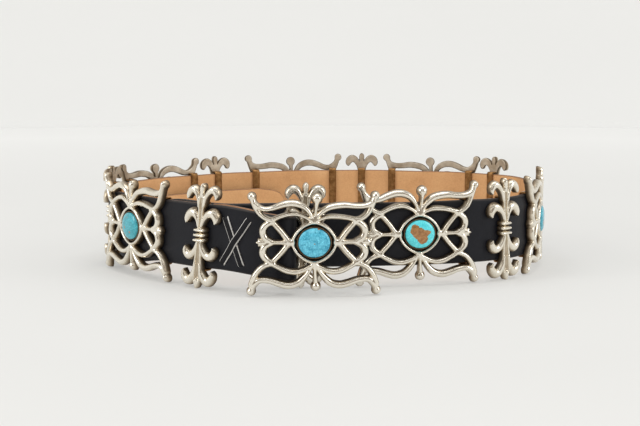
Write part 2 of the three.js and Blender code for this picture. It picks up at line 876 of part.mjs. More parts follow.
function lacing() {
  const outside = CLEARANCE;
  const inside = -2 * STRAP_THICKNESS - 2 * CLEARANCE - LACE_THICKNESS;
  const [topFirst, bottomLast, bottomFirst, topLast] = LACE_CORNERS;
  return joined([
    ...laceLegs(0),
    laceRun(topFirst, bottomLast, outside, 3),
    laceRun(topLast, bottomFirst, outside, 3),
    laceRun(bottomFirst, topFirst, inside, 1),
    laceRun(bottomLast, topLast, inside, 1),
  ]);
}

function punchedHoles() {
  return Array.from({ length: HOLE_COUNT }, (_, i) => {
    const distance = TONGUE_JOINS + FIRST_HOLE + i * HOLE_PITCH;
    const { outward } = run.at(distance);
    const point = run.shifted(distance, tongueOffset(distance));
    const middle = tongueMiddle(distance);
    const [from, to] = [-STRAP_THICKNESS, STRAP_THICKNESS].map((step) => {
      const end = point.clone().addScaledVector(outward, step);
      return [end.x, end.y, middle];
    });
    return wire(from, to, HOLE_RADIUS, HOLE_SIDES);
  });
}

function strap() {
  const slots = laceLegs(CLEARANCE).map((leg) => moved(leg, onEnd));
  const cutters = joined([...slots, ...punchedHoles()]);
  return sweptStrap(strapSections()).subtract(cutters);
}

// Placings of the flat castings on the strap's line and on the buckle's bow. The buckle's wings are lower
// at the top than the conchos'.
function onStrap(middle, height) {
  return (across, depth, up) => {
    const { point, outward } = castingRail.at(middle + across);
    const reach = depth - CONCHO_DEPTH / 2;
    return new THREE.Vector3(point.x + outward.x * reach, point.y + outward.y * reach, height + up);
  };
}

function onBuckle(across, depth, up) {
  const angle = barFacing - (across - BAR_ACROSS) / BUCKLE_BOW_RADIUS;
  const front = new THREE.Vector2(0, -1);
  const outward = front.clone().rotateAround(new THREE.Vector2(), angle);
  const centre = front
    .rotateAround(new THREE.Vector2(), barFacing)
    .multiplyScalar(barStandoff - BUCKLE_BOW_RADIUS)
    .add(barPlace.point);
  const point = centre.addScaledVector(outward, BUCKLE_BOW_RADIUS + depth);
  const lowered = up - BUCKLE_TOP.drop * smooth(BUCKLE_TOP.from, BUCKLE_TOP.to, up);
  return new THREE.Vector3(point.x, point.y, conchoMid + lowered);
}

function keep(x, y, z) {
  return new THREE.Vector3(x, y, z);
}

function piece(name, body, place, material) {
  const mesh = new THREE.Mesh(placed(body, place), material);
  mesh.name = name;
  return mesh;
}

function belt() {
  const group = new THREE.Group();
  const castConcho = concho();
  const stone = cabochon();
  group.add(piece("strap", strap(), keep, leather));
  group.add(piece("lacing", lacing(), onEnd, leather));
  group.add(piece("buckle", buckle(), onBuckle, silver));
  group.add(piece("stone_buckle", stone, onBuckle, turquoise));
  for (const { name, kind, middle, lean } of stations) {
    if (kind === "concho") {
      const place = onStrap(middle, conchoMid);
      group.add(piece(name, castConcho, place, silver));
      group.add(piece(name.replace("concho", "stone"), stone, place, turquoise));
    } else {
      group.add(piece(name, fleur(lean), onStrap(middle, FLEUR_DROP), silver));
    }
  }
  return standing(group);
}

// Moves the origin to the middle of the footprint, on the surface that the belt stands on
function standing(group) {
  const box = new THREE.Box3().setFromObject(group);
  const middle = box.getCenter(new THREE.Vector3());
  group.position.set(-middle.x, -middle.y, -box.min.z);
  return group;
}

export default belt();
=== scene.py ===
import math

import bpy
import numpy as np
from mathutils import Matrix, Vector


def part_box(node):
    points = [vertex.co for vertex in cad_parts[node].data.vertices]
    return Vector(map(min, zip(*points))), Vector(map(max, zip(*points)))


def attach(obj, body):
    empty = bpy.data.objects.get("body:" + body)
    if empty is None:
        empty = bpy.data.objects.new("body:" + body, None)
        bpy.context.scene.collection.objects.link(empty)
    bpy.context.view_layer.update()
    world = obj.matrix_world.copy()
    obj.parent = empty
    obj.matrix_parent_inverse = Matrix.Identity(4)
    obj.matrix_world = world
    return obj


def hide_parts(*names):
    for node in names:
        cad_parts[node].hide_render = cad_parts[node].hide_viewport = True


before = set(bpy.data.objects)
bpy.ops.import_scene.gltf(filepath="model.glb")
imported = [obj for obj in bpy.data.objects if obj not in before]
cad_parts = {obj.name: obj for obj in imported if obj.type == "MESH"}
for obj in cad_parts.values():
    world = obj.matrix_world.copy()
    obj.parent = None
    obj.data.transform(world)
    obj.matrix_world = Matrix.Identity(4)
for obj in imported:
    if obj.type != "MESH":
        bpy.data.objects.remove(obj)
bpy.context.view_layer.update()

# Sizes are in millimetres, as in the part's source, unless a name ends in _M. Flat castings have x along the
# strap, y out of the strap and z up, with their backs at y = 0.
MM = 0.001
# Flat points are kept as UV coordinates at this scale
UV_PER_MM = 0.01

# Strap
STRAP_WIDTH = 38
STRAP_THICKNESS = 3
STRAP_END_WIDTH = 36.8
RUN_END = 38.3
END_DROOP = 4.1
DROOP_LENGTH = 45
TAIL_LENGTH = 49
FOLD_EASE = 16
TONGUE_JOINS = 80
TONGUE_LENGTH = 262
TONGUE_SINK_LENGTH = 95
TIP_TAPER = {"back": (0, 1, 3, 6, 9, 20), "width": (0.52, 0.66, 0.79, 0.87, 0.92, 1)}
# Distances of the tip's close sections from the tongue's end
TIP_SECTIONS = (18, 16, 14, 12, 10, 8, 6, 4.5, 3, 2, 1, 0.4, 0)
HOLE_RADIUS = 2.4
HOLE_PITCH = 25
HOLE_COUNT = 3
FIRST_HOLE = 8
CLEARANCE = 0.3
EDGE_CLEARANCE = 0.6

# Conchos and their settings
CONCHO_SPAN = 71
CONCHO_DEPTH = 4.8
CONCHO_LIFT = 0.3
TIP_BALL_RADIUS = 2.7
STONE_ACROSS = 8.8
STONE_UP = 8.3
STONE_RIM = 3.1
STONE_DOME = 1.7
BEZEL_WALL = 0.6
BEZEL_HEIGHT = 3.9
BACKPLATE = 0.9
RING_GAP = 0.8
SETTING_SIDES = 10

# Fleurs
FLEUR_WIDTH = 22
FLEUR_DROP = 32.2
FLEUR_ABOVE_STRAP = 1.2

# Copper loops
LOOP_WIDTH = 5.5
LOOP_THICKNESS = 1
LOOP_SPREAD = 30.5
SOLDER_BITE = 1.2

# Buckle's wires
BAR_ACROSS = 14.5
BAR_RADIUS = 1.3
BUCKLE_TURN = 4
BUCKLE_BOW_RADIUS = 210
BUCKLE_TOP_DROP, BUCKLE_TOP_FROM, BUCKLE_TOP_TO = 2.2, 12, 25
HOOK_ACROSS = 13.2
HOOK_REACH = 8
HOOK_TIP = 6
HOOK_RADIUS = 1.4
POST_TOP = 24.6
POST_BOTTOM = -24.8

# Lace
LACE_WIDTH = 4
LACE_THICKNESS = 1
# Corners of the X as (distance from the bar, height above the middle), as seen from outside: top right,
# bottom left, bottom right, top left
LACE_CORNERS = ((22.7, 14.4), (41.8, -16.1), (27.9, -15.7), (38.8, 13.8))

# Plan of the loop, as shares of its half width and half depth
PLAN_ASPECT = 0.857
PLAN = (
    (-0.171, -0.996), (-0.44, -0.903), (-0.668, -0.695), (-0.87, -0.434), (-1.021, -0.177),
    (-1.045, 0.088), (-0.928, 0.367), (-0.704, 0.637), (-0.425, 0.86), (-0.102, 0.967),
    (0.239, 0.969), (0.559, 0.899), (0.808, 0.771), (0.955, 0.57), (1.002, 0.321),
    (0.978, 0.046), (0.934, -0.231), (0.853, -0.469), (0.684, -0.635), (0.407, -0.736),
    (0.042, -0.787), (-0.387, -0.819),
)
CASTINGS = (
    ("fleur_1", 44.5, -6), ("concho_left", 15.7, 0), ("fleur_2", 27.8, 0), ("concho_back_left", 1.2, 0),
    ("fleur_3", 2.4, 0), ("concho_back", 13.3, 0), ("fleur_4", 3.8, 0), ("concho_back_right", 4.7, 0),
    ("fleur_5", 1.1, 0), ("concho_right", 65.1, 0), ("fleur_6", 10.3, 2), ("concho_front", 8.4, 0),
    ("fleur_7", 19.8, -3),
)

# Camera in the plan's frame
CAMERA_X, CAMERA_Y, CAMERA_HEIGHT = -6, -821.2, 136.7
CAMERA_PITCH_DOWN = 7.27
LENS, SENSOR = 70, 36

strap_middle = FLEUR_DROP - FLEUR_ABOVE_STRAP
concho_middle = strap_middle + CONCHO_LIFT
concho_width = CONCHO_SPAN + 2 * TIP_BALL_RADIUS
rail_offset = STRAP_THICKNESS / 2 + CLEARANCE + CONCHO_DEPTH / 2
liner_offset = STRAP_THICKNESS + CLEARANCE
loop_depth = LOOP_THICKNESS + 2 * CLEARANCE
fold_radius = BAR_RADIUS + CLEARANCE + STRAP_THICKNESS / 2


def smooth(start, end, value):
    share = np.clip((np.asarray(value, float) - start) / (end - start), 0, 1)
    return share * share * (3 - 2 * share)


class Rail:
    """A plan line with its length along the way. The outward side is to the left of travel."""

    def __init__(self, points):
        self.points = np.asarray(points, float)
        steps = np.diff(self.points, axis=0)
        gaps = np.linalg.norm(steps, axis=1)
        self.lengths = np.concatenate(([0], np.cumsum(gaps)))
        self.length = self.lengths[-1]
        self.steps = steps / gaps[:, None]
        self.tangents = np.vstack((self.steps[:1], (self.steps[:-1] + self.steps[1:]) / 2, self.steps[-1:]))

    def at(self, distance):
        distance = np.asarray(distance, float)
        inside = np.clip(distance, 0, self.length)
        point = np.stack([np.interp(inside, self.lengths, self.points[:, k]) for k in (0, 1)], -1)
        along = np.stack([np.interp(inside, self.lengths, self.tangents[:, k]) for k in (0, 1)], -1)
        along = along / np.linalg.norm(along, axis=-1, keepdims=True)
        point = point + along * (distance - inside)[..., None]
        return point, along, np.stack((-along[..., 1], along[..., 0]), -1)

    def turn(self):
        a, b = self.steps[:-1], self.steps[1:]
        return -np.sum(a[:, 0] * b[:, 1] - a[:, 1] * b[:, 0])

    def shifted(self, distance, offset):
        point, _, outward = self.at(distance)
        return point + outward * np.asarray(offset, float)[..., None]

    def offset(self, distance):
        return Rail(self.shifted(self.lengths, distance))


def plan_points():
    rows = np.array(PLAN) * (1, PLAN_ASPECT)
    rows = np.vstack((2 * rows[0] - rows[1], rows, 2 * rows[-1] - rows[-2]))
    t = np.linspace(0, 1, 24, endpoint=False)[:, None]

    def span(a, b, c, d, t):
        r = 1 - t
        middle = b * (3 * t**3 - 6 * t**2 + 4) + c * (-3 * t**3 + 3 * t**2 + 3 * t + 1)
        return (a * r**3 + middle + d * t**3) / 6

    spans = [span(*rows[i : i + 4], t) for i in range(len(rows) - 3)]
    return np.vstack(spans + [span(*rows[-4:], np.ones((1, 1)))])


def casting_stations():
    edge, found = 0, {}
    for name, space, lean in CASTINGS:
        half = (FLEUR_WIDTH if name.startswith("fleur") else concho_width) / 2
        middle = edge + space + half
        edge = middle + half
        found[name] = (middle, lean)
    return found, edge - half


stations, last_middle = casting_stations()
unit_rail = Rail(plan_points())
plan_scale = (last_middle + RUN_END - rail_offset * unit_rail.turn()) / unit_rail.length
run = Rail(unit_rail.points * plan_scale)
casting_rail = run.offset(rail_offset)


def on_strap(middle, height):
    """Placing of a flat casting at that distance along the strap."""

    def place(flat):
        point, _, outward = casting_rail.at(middle + flat[:, 0])
        spot = point + outward * (flat[:, 1] - CONCHO_DEPTH / 2)[:, None]
        return np.column_stack((spot, height + flat[:, 2]))

    return place


bar_point, bar_along, bar_outward = (v.reshape(2) for v in run.at(0))
fold_outside = fold_radius + STRAP_THICKNESS / 2
bar_standoff = fold_outside + CLEARANCE + fold_outside**2 / (2 * BUCKLE_BOW_RADIUS)
bar_facing = math.radians(BUCKLE_TURN) - BAR_ACROSS / BUCKLE_BOW_RADIUS


def on_buckle(flat):
    def front(angle):
        return np.stack((np.sin(angle), -np.cos(angle)), -1)

    angle = bar_facing - (flat[:, 0] - BAR_ACROSS) / BUCKLE_BOW_RADIUS
    centre = bar_point + front(np.float64(bar_facing)) * (bar_standoff - BUCKLE_BOW_RADIUS)
    spot = centre + front(angle) * (BUCKLE_BOW_RADIUS + flat[:, 1])[:, None]
    lowered = flat[:, 2] - BUCKLE_TOP_DROP * smooth(BUCKLE_TOP_FROM, BUCKLE_TOP_TO, flat[:, 2])
    return np.column_stack((spot, concho_middle + lowered))


def outer_offset(distance):
    return fold_radius * (1 - smooth(0, FOLD_EASE, distance))


def tail_offset(distance):
    ease = smooth(0, FOLD_EASE, distance)
    return -fold_radius * (1 - ease) - liner_offset * ease


def tongue_offset(distance):
    near = 2 * liner_offset + loop_depth
    far = liner_offset + loop_depth + CLEARANCE
    ease = smooth(TONGUE_JOINS, TONGUE_JOINS + TAIL_LENGTH, distance)
    return -(near + (far - near) * ease)


def tongue_middle(distance):
    ease = smooth(TONGUE_JOINS, TONGUE_JOINS + TONGUE_SINK_LENGTH, distance)
    return strap_middle + (STRAP_WIDTH / 2 - strap_middle) * ease


def tongue_point(distance):
    return run.shifted(np.array([distance]), tongue_offset(np.array([distance])))[0]


def end_middle(distance):
    return strap_middle - END_DROOP * (1 - smooth(0, DROOP_LENGTH, distance))


def end_width(distance):
    return STRAP_END_WIDTH + (STRAP_WIDTH - STRAP_END_WIDTH) * smooth(0, DROOP_LENGTH, distance)


def on_end(flat):
    """Placing on the folded end: x is the distance from the bar, y from the outer face."""
    point, _, outward = run.at(flat[:, 0])
    reach = outer_offset(flat[:, 0]) + STRAP_THICKNESS / 2 + flat[:, 1]
    return np.column_stack((point + outward * reach[:, None], end_middle(flat[:, 0]) + flat[:, 2]))


def casting_place(name):
    if name == "buckle":
        return on_buckle
    middle, _ = stations[name]
    return on_strap(middle, FLEUR_DROP if name.startswith("fleur") else concho_middle)


def frame_shift():
    """From the plan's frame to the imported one, where the origin is in the middle of the footprint."""
    angles = np.arange(SETTING_SIDES) * 2 * math.pi / SETTING_SIDES
    seat = BACKPLATE + CLEARANCE
    rings = [
        np.column_stack((STONE_ACROSS * np.cos(angles), np.full(SETTING_SIDES, y), STONE_UP * np.sin(angles)))
        for y in (seat, seat + STONE_RIM)
    ]
    spots = on_buckle(np.vstack(rings))
    low, high = (np.array(corner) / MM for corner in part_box("stone_buckle"))
    middle = (high[0] + low[0]) / 2
    return np.array((middle - (spots[:, 0].max() + spots[:, 0].min()) / 2, high[1] - spots[:, 1].max(), 0))


shift = frame_shift()


# Meshes
def linked(name, data):
    obj = bpy.data.objects.new(name, data)
    bpy.context.collection.objects.link(obj)
    return obj


def new_object(name, points, faces, material, flat=None):
    """A mesh piece from points in the plan's frame, with its flat points kept as a UV map and attributes."""
    mesh = bpy.data.meshes.new(name)
    placed = (np.asarray(points, float) + shift) * MM
    mesh.from_pydata(placed.tolist(), [], faces.tolist() if isinstance(faces, np.ndarray) else faces)
    mesh.update()
    for m in material if isinstance(material, (list, tuple)) else [material]:
        mesh.materials.append(m)
    mesh.polygons.foreach_set("use_smooth", np.ones(len(mesh.polygons), bool))
    if flat is not None:
        flat = np.asarray(flat, float)
        corner = np.zeros(len(mesh.loops), int)
        mesh.loops.foreach_get("vertex_index", corner)
        layer = mesh.uv_layers.new(name="flat")
        layer.data.foreach_set("uv", (flat[corner][:, (0, 2)] * UV_PER_MM).ravel())
        depth = mesh.attributes.new("depth", "FLOAT", "POINT")
        depth.data.foreach_set("value", flat[:, 1].copy())
    return linked(name, mesh)


def dress(obj, slot, *nodes):
    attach(obj, "root")
    if nodes:
        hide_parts(*nodes)
    return obj


def skin(rings, sides, capped=True):
    """Faces between rings of points, and one over each end."""
    faces = [
        (i * sides + k, i * sides + (k + 1) % sides, (i + 1) * sides + (k + 1) % sides, (i + 1) * sides + k)
        for i in range(rings - 1) for k in range(sides)
    ]
    if capped:
        last = (rings - 1) * sides
        faces += [tuple(reversed(range(sides))), tuple(range(last, last + sides))]
    return faces


def turned(faces):
    return [face[::-1] for face in faces]


def smooth_line(rows, pieces=7):
    """Catmull-Rom line through rows of (across, up, half width)."""
    rows = np.asarray(rows, float)
    ends = np.vstack((2 * rows[0] - rows[1], rows, 2 * rows[-1] - rows[-2]))
    t = np.linspace(0, 1, pieces, endpoint=False)[:, None]
    spans = [
        0.5 * (2 * b + (c - a) * t + (2 * a - 5 * b + 4 * c - d) * t**2 + (3 * b - a - 3 * c + d) * t**3)
        for a, b, c, d in zip(ends, ends[1:], ends[2:], ends[3:])
    ]
    return np.vstack(spans + [rows[-1:]])


class Mould:
    """A field on a grid, below zero inside the metal, that strands and domes are melted into."""

    STRAND_REACH, DOME_REACH = 1.6, 1.8
    OUTSIDE = 9.0

    def __init__(self, across, up, depth, pitch):
        self.pitch = pitch
        self.origin = np.array((-across - 2 * pitch, -1.5 * pitch, up[0] - 2 * pitch))
        self.shape = tuple(math.ceil(size / pitch) + 4 for size in (2 * across, depth, up[1] - up[0]))
        axes = [self.origin[k] + pitch * np.arange(self.shape[k]) for k in range(3)]
        self.x, self.z = np.meshgrid(axes[0], axes[2], indexing="ij")
        self.y = np.maximum(axes[1], 0)[None, :, None]
        self.floor = -axes[1][None, :, None]
        self.field = np.full(self.shape, self.OUTSIDE)

    def melt(self, window, value, blend):
        old = self.field[window[0], :, window[1]]
        share = np.clip(0.5 + 0.5 * (value - old) / blend, 0, 1)
        self.field[window[0], :, window[1]] = value + (old - value) * share - blend * share * (1 - share)

    def window(self, low, high, pad):
        spans = []
        for k, axis in ((0, 0), (1, 2)):
            start = int((low[k] - pad - self.origin[axis]) / self.pitch)
            end = int((high[k] + pad - self.origin[axis]) / self.pitch) + 2
            spans.append(slice(max(start, 0), min(end, self.shape[axis])))
        return tuple(spans)

    def strand(self, rows, height, side_power=2.0, top_power=3.4, blend=0.45, closed=False):
        """One cast strand: rows of (across, up, half width)."""
        line = np.asarray(rows, float) if closed else smooth_line(rows)
        window = self.window(line[:, :2].min(0), line[:, :2].max(0), line[:, 2].max() + self.STRAND_REACH)
        start, leg = line[:-1], np.diff(line, axis=0)
        px = self.x[window][..., None] - start[:, 0]
        pz = self.z[window][..., None] - start[:, 1]
        share = np.clip((px * leg[:, 0] + pz * leg[:, 1]) / (leg[:, 0] ** 2 + leg[:, 1] ** 2), 0, 1)
        gap = np.hypot(px - share * leg[:, 0], pz - share * leg[:, 1])
        half = start[:, 2] + share * leg[:, 2]
        ratio = gap / half
        best = np.argmin(ratio, axis=-1)[..., None]
        ratio = np.take_along_axis(ratio, best, -1)[..., 0][:, None, :]
        half = np.take_along_axis(half, best, -1)[..., 0][:, None, :]
        rise = (self.y / height) ** top_power
        value = half * ((ratio**side_power + rise) ** (1 / side_power) - 1)
        self.melt(window, value, blend)

    def dome(self, middle, radii, height, power=2.0, blend=0.5):
        radii = np.asarray(radii, float)
        middle = np.asarray(middle, float)
        window = self.window(middle - radii, middle + radii, self.DOME_REACH)
        ratio = np.hypot((self.x[window] - middle[0]) / radii[0], (self.z[window] - middle[1]) / radii[1])
        value = radii.min() * ((ratio[:, None, :] ** power + (self.y / height) ** power) ** (1 / power) - 1)
        self.melt(window, value, blend)

    def mesh(self):
        """Points and quads of the surface, one point for each cell that it passes through."""
        field = np.maximum(self.field, self.floor)
        inside = field < 0
        cells = tuple(n - 1 for n in self.shape)
        total, count = np.zeros(cells + (3,)), np.zeros(cells)
        edges = []
        for axis in range(3):
            u, v = (k for k in range(3) if k != axis)
            first, second, pick = [slice(None)] * 3, [slice(None)] * 3, [slice(None)] * 3
            first[axis], second[axis] = slice(0, -1), slice(1, None)
            a, b = field[tuple(first)], field[tuple(second)]
            solid = inside[tuple(first)]
            cross = solid != inside[tuple(second)]
            where = np.where(cross, a / np.where(cross, a - b, 1), 0)
            edges.append((u, v, cross, solid, axis != 1))
            for du, dv in ((0, 0), (0, 1), (1, 0), (1, 1)):
                pick[u], pick[v] = slice(du, du + cells[u]), slice(dv, dv + cells[v])
                hit = cross[tuple(pick)]
                total[..., axis] += where[tuple(pick)]
                total[..., u] += du * hit
                total[..., v] += dv * hit
                count += hit
        active = count > 0
        ids = np.full(cells, -1)
        ids[active] = np.arange(active.sum())
        corner = np.argwhere(active)
        points = self.origin + self.pitch * (corner + total[active] / count[active][:, None])
        quads = []
        for u, v, cross, solid, straight in edges:
            spots = np.argwhere(cross)
            keep = (spots[:, u] > 0) & (spots[:, v] > 0) & (spots[:, u] < cells[u]) & (spots[:, v] < cells[v])
            spots = spots[keep]
            ring = []
            for du, dv in ((-1, -1), (0, -1), (0, 0), (-1, 0)):
                cell = spots.copy()
                cell[:, u] += du
                cell[:, v] += dv
                ring.append(ids[tuple(cell.T)])
            ring = np.stack(ring, -1)
            inwards = solid[tuple(spots.T)] != straight
            ring[inwards] = ring[inwards][:, ::-1]
            quads.append(ring)
        return points, np.vstack(quads)


bezel_inner = CLEARANCE
bezel_outer = bezel_inner + BEZEL_WALL
ring_inner = bezel_outer + RING_GAP


def mirrored(rows):
    rows = np.asarray(rows, float)
    return rows, rows * (-1, 1, 1)


# Strands of a concho from the middle of its stone, as (across, up, half width), and their height. The two
# lines of the upper wing come first, for the flatter wing on the side of negative across.
FLAT_WING = (
    (((-0.8, 11.8, 1.1), (-2.2, 15.5, 1.4), (-4.6, 18.6, 1.99), (-8.2, 21.3, 2.22), (-13, 22.5, 2.28),
      (-17.6, 22.8, 2.22), (-22.2, 22.2, 2.05), (-26.6, 22, 1.99), (-30.2, 22.7, 1.82),
      (-32.8, 24.4, 1.3)), 4.8),
    (((-1.7, 12.4, 1.15), (-4.6, 13.8, 1.4), (-9, 14.9, 1.82), (-15.4, 14.5, 1.77), (-20.4, 13.4, 1.71),
      (-24.4, 12.7, 1.71), (-27.4, 13.9, 1.77), (-29.8, 16.2, 1.82), (-31.7, 20, 1.82), (-33.3, 24.4, 1.82),
      (-34.4, 27.8, 1.82)), 4.7),
)
ARCHED_WING = (
    (((0.8, 11.8, 1.1), (2.1, 16.8, 1.4), (5.2, 21.6, 1.99), (9.8, 23.9, 2.28), (14.5, 24.1, 2.28),
      (19.1, 22.8, 2.17), (23.7, 20.9, 1.99), (27.7, 20.5, 1.88), (30.6, 21.9, 1.71),
      (32.6, 24.2, 1.3)), 4.8),
    (((1.7, 12.5, 1.15), (5.2, 14.9, 1.4), (9.8, 16.8, 1.77), (14.5, 16.5, 1.77), (19.1, 14.9, 1.71),
      (23.7, 12.9, 1.71), (27.5, 14.2, 1.77), (30.2, 16.9, 1.82), (32.2, 20.8, 1.82), (33.6, 24.6, 1.82),
      (34.6, 28, 1.82)), 4.7),
)
# The rest of the strands are the same on both sides
PAIRED_STRANDS = (
    # Outer and inner lines of the lower wing
    (((-0.6, -11.8, 1.1), (-2.9, -16.2, 1.4), (-6.4, -20.8, 1.99), (-9.8, -23.5, 2.17), (-14.5, -24.6, 2.22),
      (-19.1, -23.7, 2.17), (-24.9, -21.9, 1.99), (-30.6, -21.7, 1.94), (-34.2, -24.8, 1.94),
      (-35.6, -27.8, 1.94)), 4.8),
    (((-1.7, -13, 1.1), (-6.4, -15.9, 1.71), (-11, -16.9, 1.82), (-15.6, -16.2, 1.82), (-20.2, -14, 1.71),
      (-24.2, -12.3, 1.71), (-29.3, -14.3, 1.77), (-33.2, -18.9, 1.88), (-35.4, -24.3, 1.82)), 4.7),
    # Three rays of the clover
    (((-12, 0.4, 1.9), (-14.6, 1.3, 1.8), (-18.4, 6.1, 1.8), (-23.4, 11.8, 1.75)), 4.4),
    (((-12, 0, 1.9), (-15, 0, 1.75), (-20, 0, 1.5), (-26, 0, 1.7), (-30, 0, 1.9)), 4.4),
    (((-12, -0.4, 1.9), (-14.6, -1.3, 1.8), (-18.4, -5.9, 1.8), (-23.8, -11.6, 1.75)), 4.4),
    # Its two lobes
    (((-22.8, 11.6, 1.6), (-25.9, 10.4, 2.05), (-28.1, 8.2, 2.25), (-28.6, 5.3, 2.25), (-27.3, 2.4, 2.05),
      (-24, 0.7, 1.6)), 4.7),
    (((-23.2, -11.6, 1.6), (-26.2, -10, 2.05), (-28.3, -7.6, 2.25), (-28.7, -4.9, 2.25),
      (-27.3, -2.2, 2.05), (-24, -0.6, 1.6)), 4.7),
    # Three small points at the side
    (((-29, 0, 1.7), (-30.8, 0, 1.35), (-32.4, 0, 0.35)), 4.2),
    (((-29.2, 1, 1.1), (-31, 1.9, 0.6)), 4),
    (((-29.2, -1, 1.1), (-31, -1.9, 0.6)), 4),
)
# Middle strands, and the balls at the ends of strands as (across, up, radius, height)
CREST = ((-0.2, 11.4, 1.5), (-0.6, 16.5, 1.15), (-1.2, 21.2, 1.35), (-1.6, 25.2, 2))
KEEL = ((0, -11.4, 1.4), (-0.3, -16, 1.2), (-0.6, -21, 1.45), (-0.9, -25, 1.9))
BALLS = ((-34.9, 28.2, 2.65, 5), (34.9, 28.2, 2.65, 5), (-35.7, -28.2, 2.75, 5),
         (35.7, -28.2, 2.75, 5), (-0.9, -25.1, 3, 5.2))
CREST_BALL = (-1.6, 25.4, 3.35, 5.3)
BUCKLE_CREST_RISE = 1.6
# The ring round the stone is a lozenge with full sides
RING_ACROSS, RING_UP, RING_POWER, RING_HALF_WIDTH = 12.1, 11.3, 1.7, 1.2
MIDDLE_HEIGHT = 4.7
# Grid of a mould: half width, lowest and highest point, depth
CONCHO_GRID = (39.4, (-31.6, 30.6), 5.6)
FLEUR_GRID = (13.2, (-33.4, 31.6), 5.6)


def concho_mould(pitch, crest_rise=0):
    mould = Mould(*CONCHO_GRID, pitch)
    angles = np.linspace(0, 2 * math.pi, 73)
    across, up = np.cos(angles), np.sin(angles)
    swell = (abs(across / RING_ACROSS) ** RING_POWER + abs(up / RING_UP) ** RING_POWER) ** (-1 / RING_POWER)
    ring = np.column_stack((swell * across, swell * up, np.full(len(angles), RING_HALF_WIDTH)))
    mould.strand(ring, MIDDLE_HEIGHT, closed=True, blend=0.3)
    mould.dome((0, 0), (STONE_ACROSS + ring_inner, STONE_UP + ring_inner), BACKPLATE, 8, 0.2)
    for rows, height in FLAT_WING + ARCHED_WING:
        mould.strand(rows, height)
    for rows, height in PAIRED_STRANDS:
        for half in mirrored(rows):
            mould.strand(half, height)
    crest = np.array(CREST)
    crest[:, 1] += crest_rise * smooth(12, 25, crest[:, 1])
    mould.strand(crest, MIDDLE_HEIGHT)
    mould.strand(KEEL, MIDDLE_HEIGHT)
    crest_ball = (CREST_BALL[0], CREST_BALL[1] + crest_rise, *CREST_BALL[2:])
    for across, up, radius, height in (*BALLS, crest_ball):
        mould.dome((across, up), (radius, radius), height, 2.1, 0.35)
    return mould.mesh()


# Curls of one half of a fleur from the middle of its collar, as (across, up, half width)
FLEUR_CURLS = (
    ((-1.6, 17, 0.9), (-2.3, 21.5, 1.3), (-3.9, 25, 1.9), (-6.2, 26.6, 2.3), (-8.2, 25.5, 2.25),
     (-9.1, 23.3, 1.7), (-9, 21.3, 0.5)),
    ((-1.1, 5.2, 0.95), (-2.1, 9, 1.5), (-4, 12, 2.35), (-6.4, 12.9, 2.8), (-8.4, 11.7, 2.7),
     (-9.5, 9.3, 2.1), (-9.4, 6.9, 0.5)),
    ((-1.2, -4.6, 0.95), (-2.4, -8.4, 1.6), (-4.4, -11.6, 2.35), (-6.8, -12.6, 2.7), (-8.7, -11.4, 2.5),
     (-9.5, -9.3, 1.85), (-9.2, -7.1, 0.5)),
    ((-1.5, -17.5, 1), (-2.6, -22.5, 1.8), (-4.6, -26.4, 2.6), (-6.8, -27.5, 2.85), (-8.7, -26.1, 2.6),
     (-9.7, -23.7, 1.9), (-9.5, -21.2, 0.5)),
)
# Fluted stem: a low middle between two raised ribs, with a bud at each end
FLEUR_RIBS = (
    (((0, -30.6, 0.9), (0, -28, 2.1), (0, -20, 2.4), (0, -12, 1.6), (0, 0, 1.2), (0, 8, 1.1), (0, 15, 1.5),
      (0, 21, 1.7), (0, 25, 1.2)), 3),
    (((0, 22.5, 0.9), (0, 26, 1.8), (0, 28.4, 1.8), (0, 30.2, 0.4)), 4.7),
    (((0, -31.5, 0.6), (0, -29.4, 2.1), (0, -26.6, 1.5)), 4.5),
    (((-0.9, -29.5, 0.8), (-2.1, -26, 0.95), (-2.4, -20, 1), (-1.7, -12, 0.9), (-1, -4, 0.8)), 4.3),
    (((-0.8, 4, 0.75), (-0.9, 9, 0.75), (-1.3, 15, 0.8), (-1.5, 20, 0.85), (-1, 24, 0.8)), 4.3),
)
CURL_SPREAD, CURL_SWELL, CURL_HEIGHT = 1.12, 1.16, 4.5
COLLAR_PITCH, COLLAR_HEIGHT = 3, 5.3
COLLAR_HALF_WIDTHS = (3.3, 3.1, 3.0)


def fleur_mould(pitch, lean):
    mould = Mould(*FLEUR_GRID, pitch)
    for rows, height in FLEUR_RIBS:
        for half in mirrored(rows) if rows[0][0] else (rows,):
            mould.strand(half, height, blend=0.3)
    for rows in FLEUR_CURLS:
        for half in mirrored(rows):
            curl = half * (CURL_SPREAD, 1, CURL_SWELL)
            mould.strand(curl, CURL_HEIGHT, side_power=2.6, top_power=2.0, blend=0.3)
    for place, half in zip((-1, 0, 1), COLLAR_HALF_WIDTHS):
        up = place * COLLAR_PITCH
        band = ((-half, up, 1.5), (0, up, 1.6), (half, up, 1.5))
        mould.strand(band, COLLAR_HEIGHT, top_power=2.0, blend=0.12)
    points, faces = mould.mesh()
    points[:, 0] += points[:, 2] * math.sin(math.radians(lean))
    points[:, 2] -= points[:, 2].min() + FLEUR_DROP
    return points, faces


ROUND = 72


def lathe(rows):
    """Rings round the stone: rows of (share of the stone's size, distance beyond it, depth)."""
    angles = np.arange(ROUND) * 2 * math.pi / ROUND
    rings = [
        np.column_stack((
            (share * STONE_ACROSS + beyond) * np.cos(angles),
            np.full(ROUND, depth),
            (share * STONE_UP + beyond) * np.sin(angles),
        ))
        for share, beyond, depth in rows
    ]
    return np.vstack(rings), skin(len(rows), ROUND, capped=False)


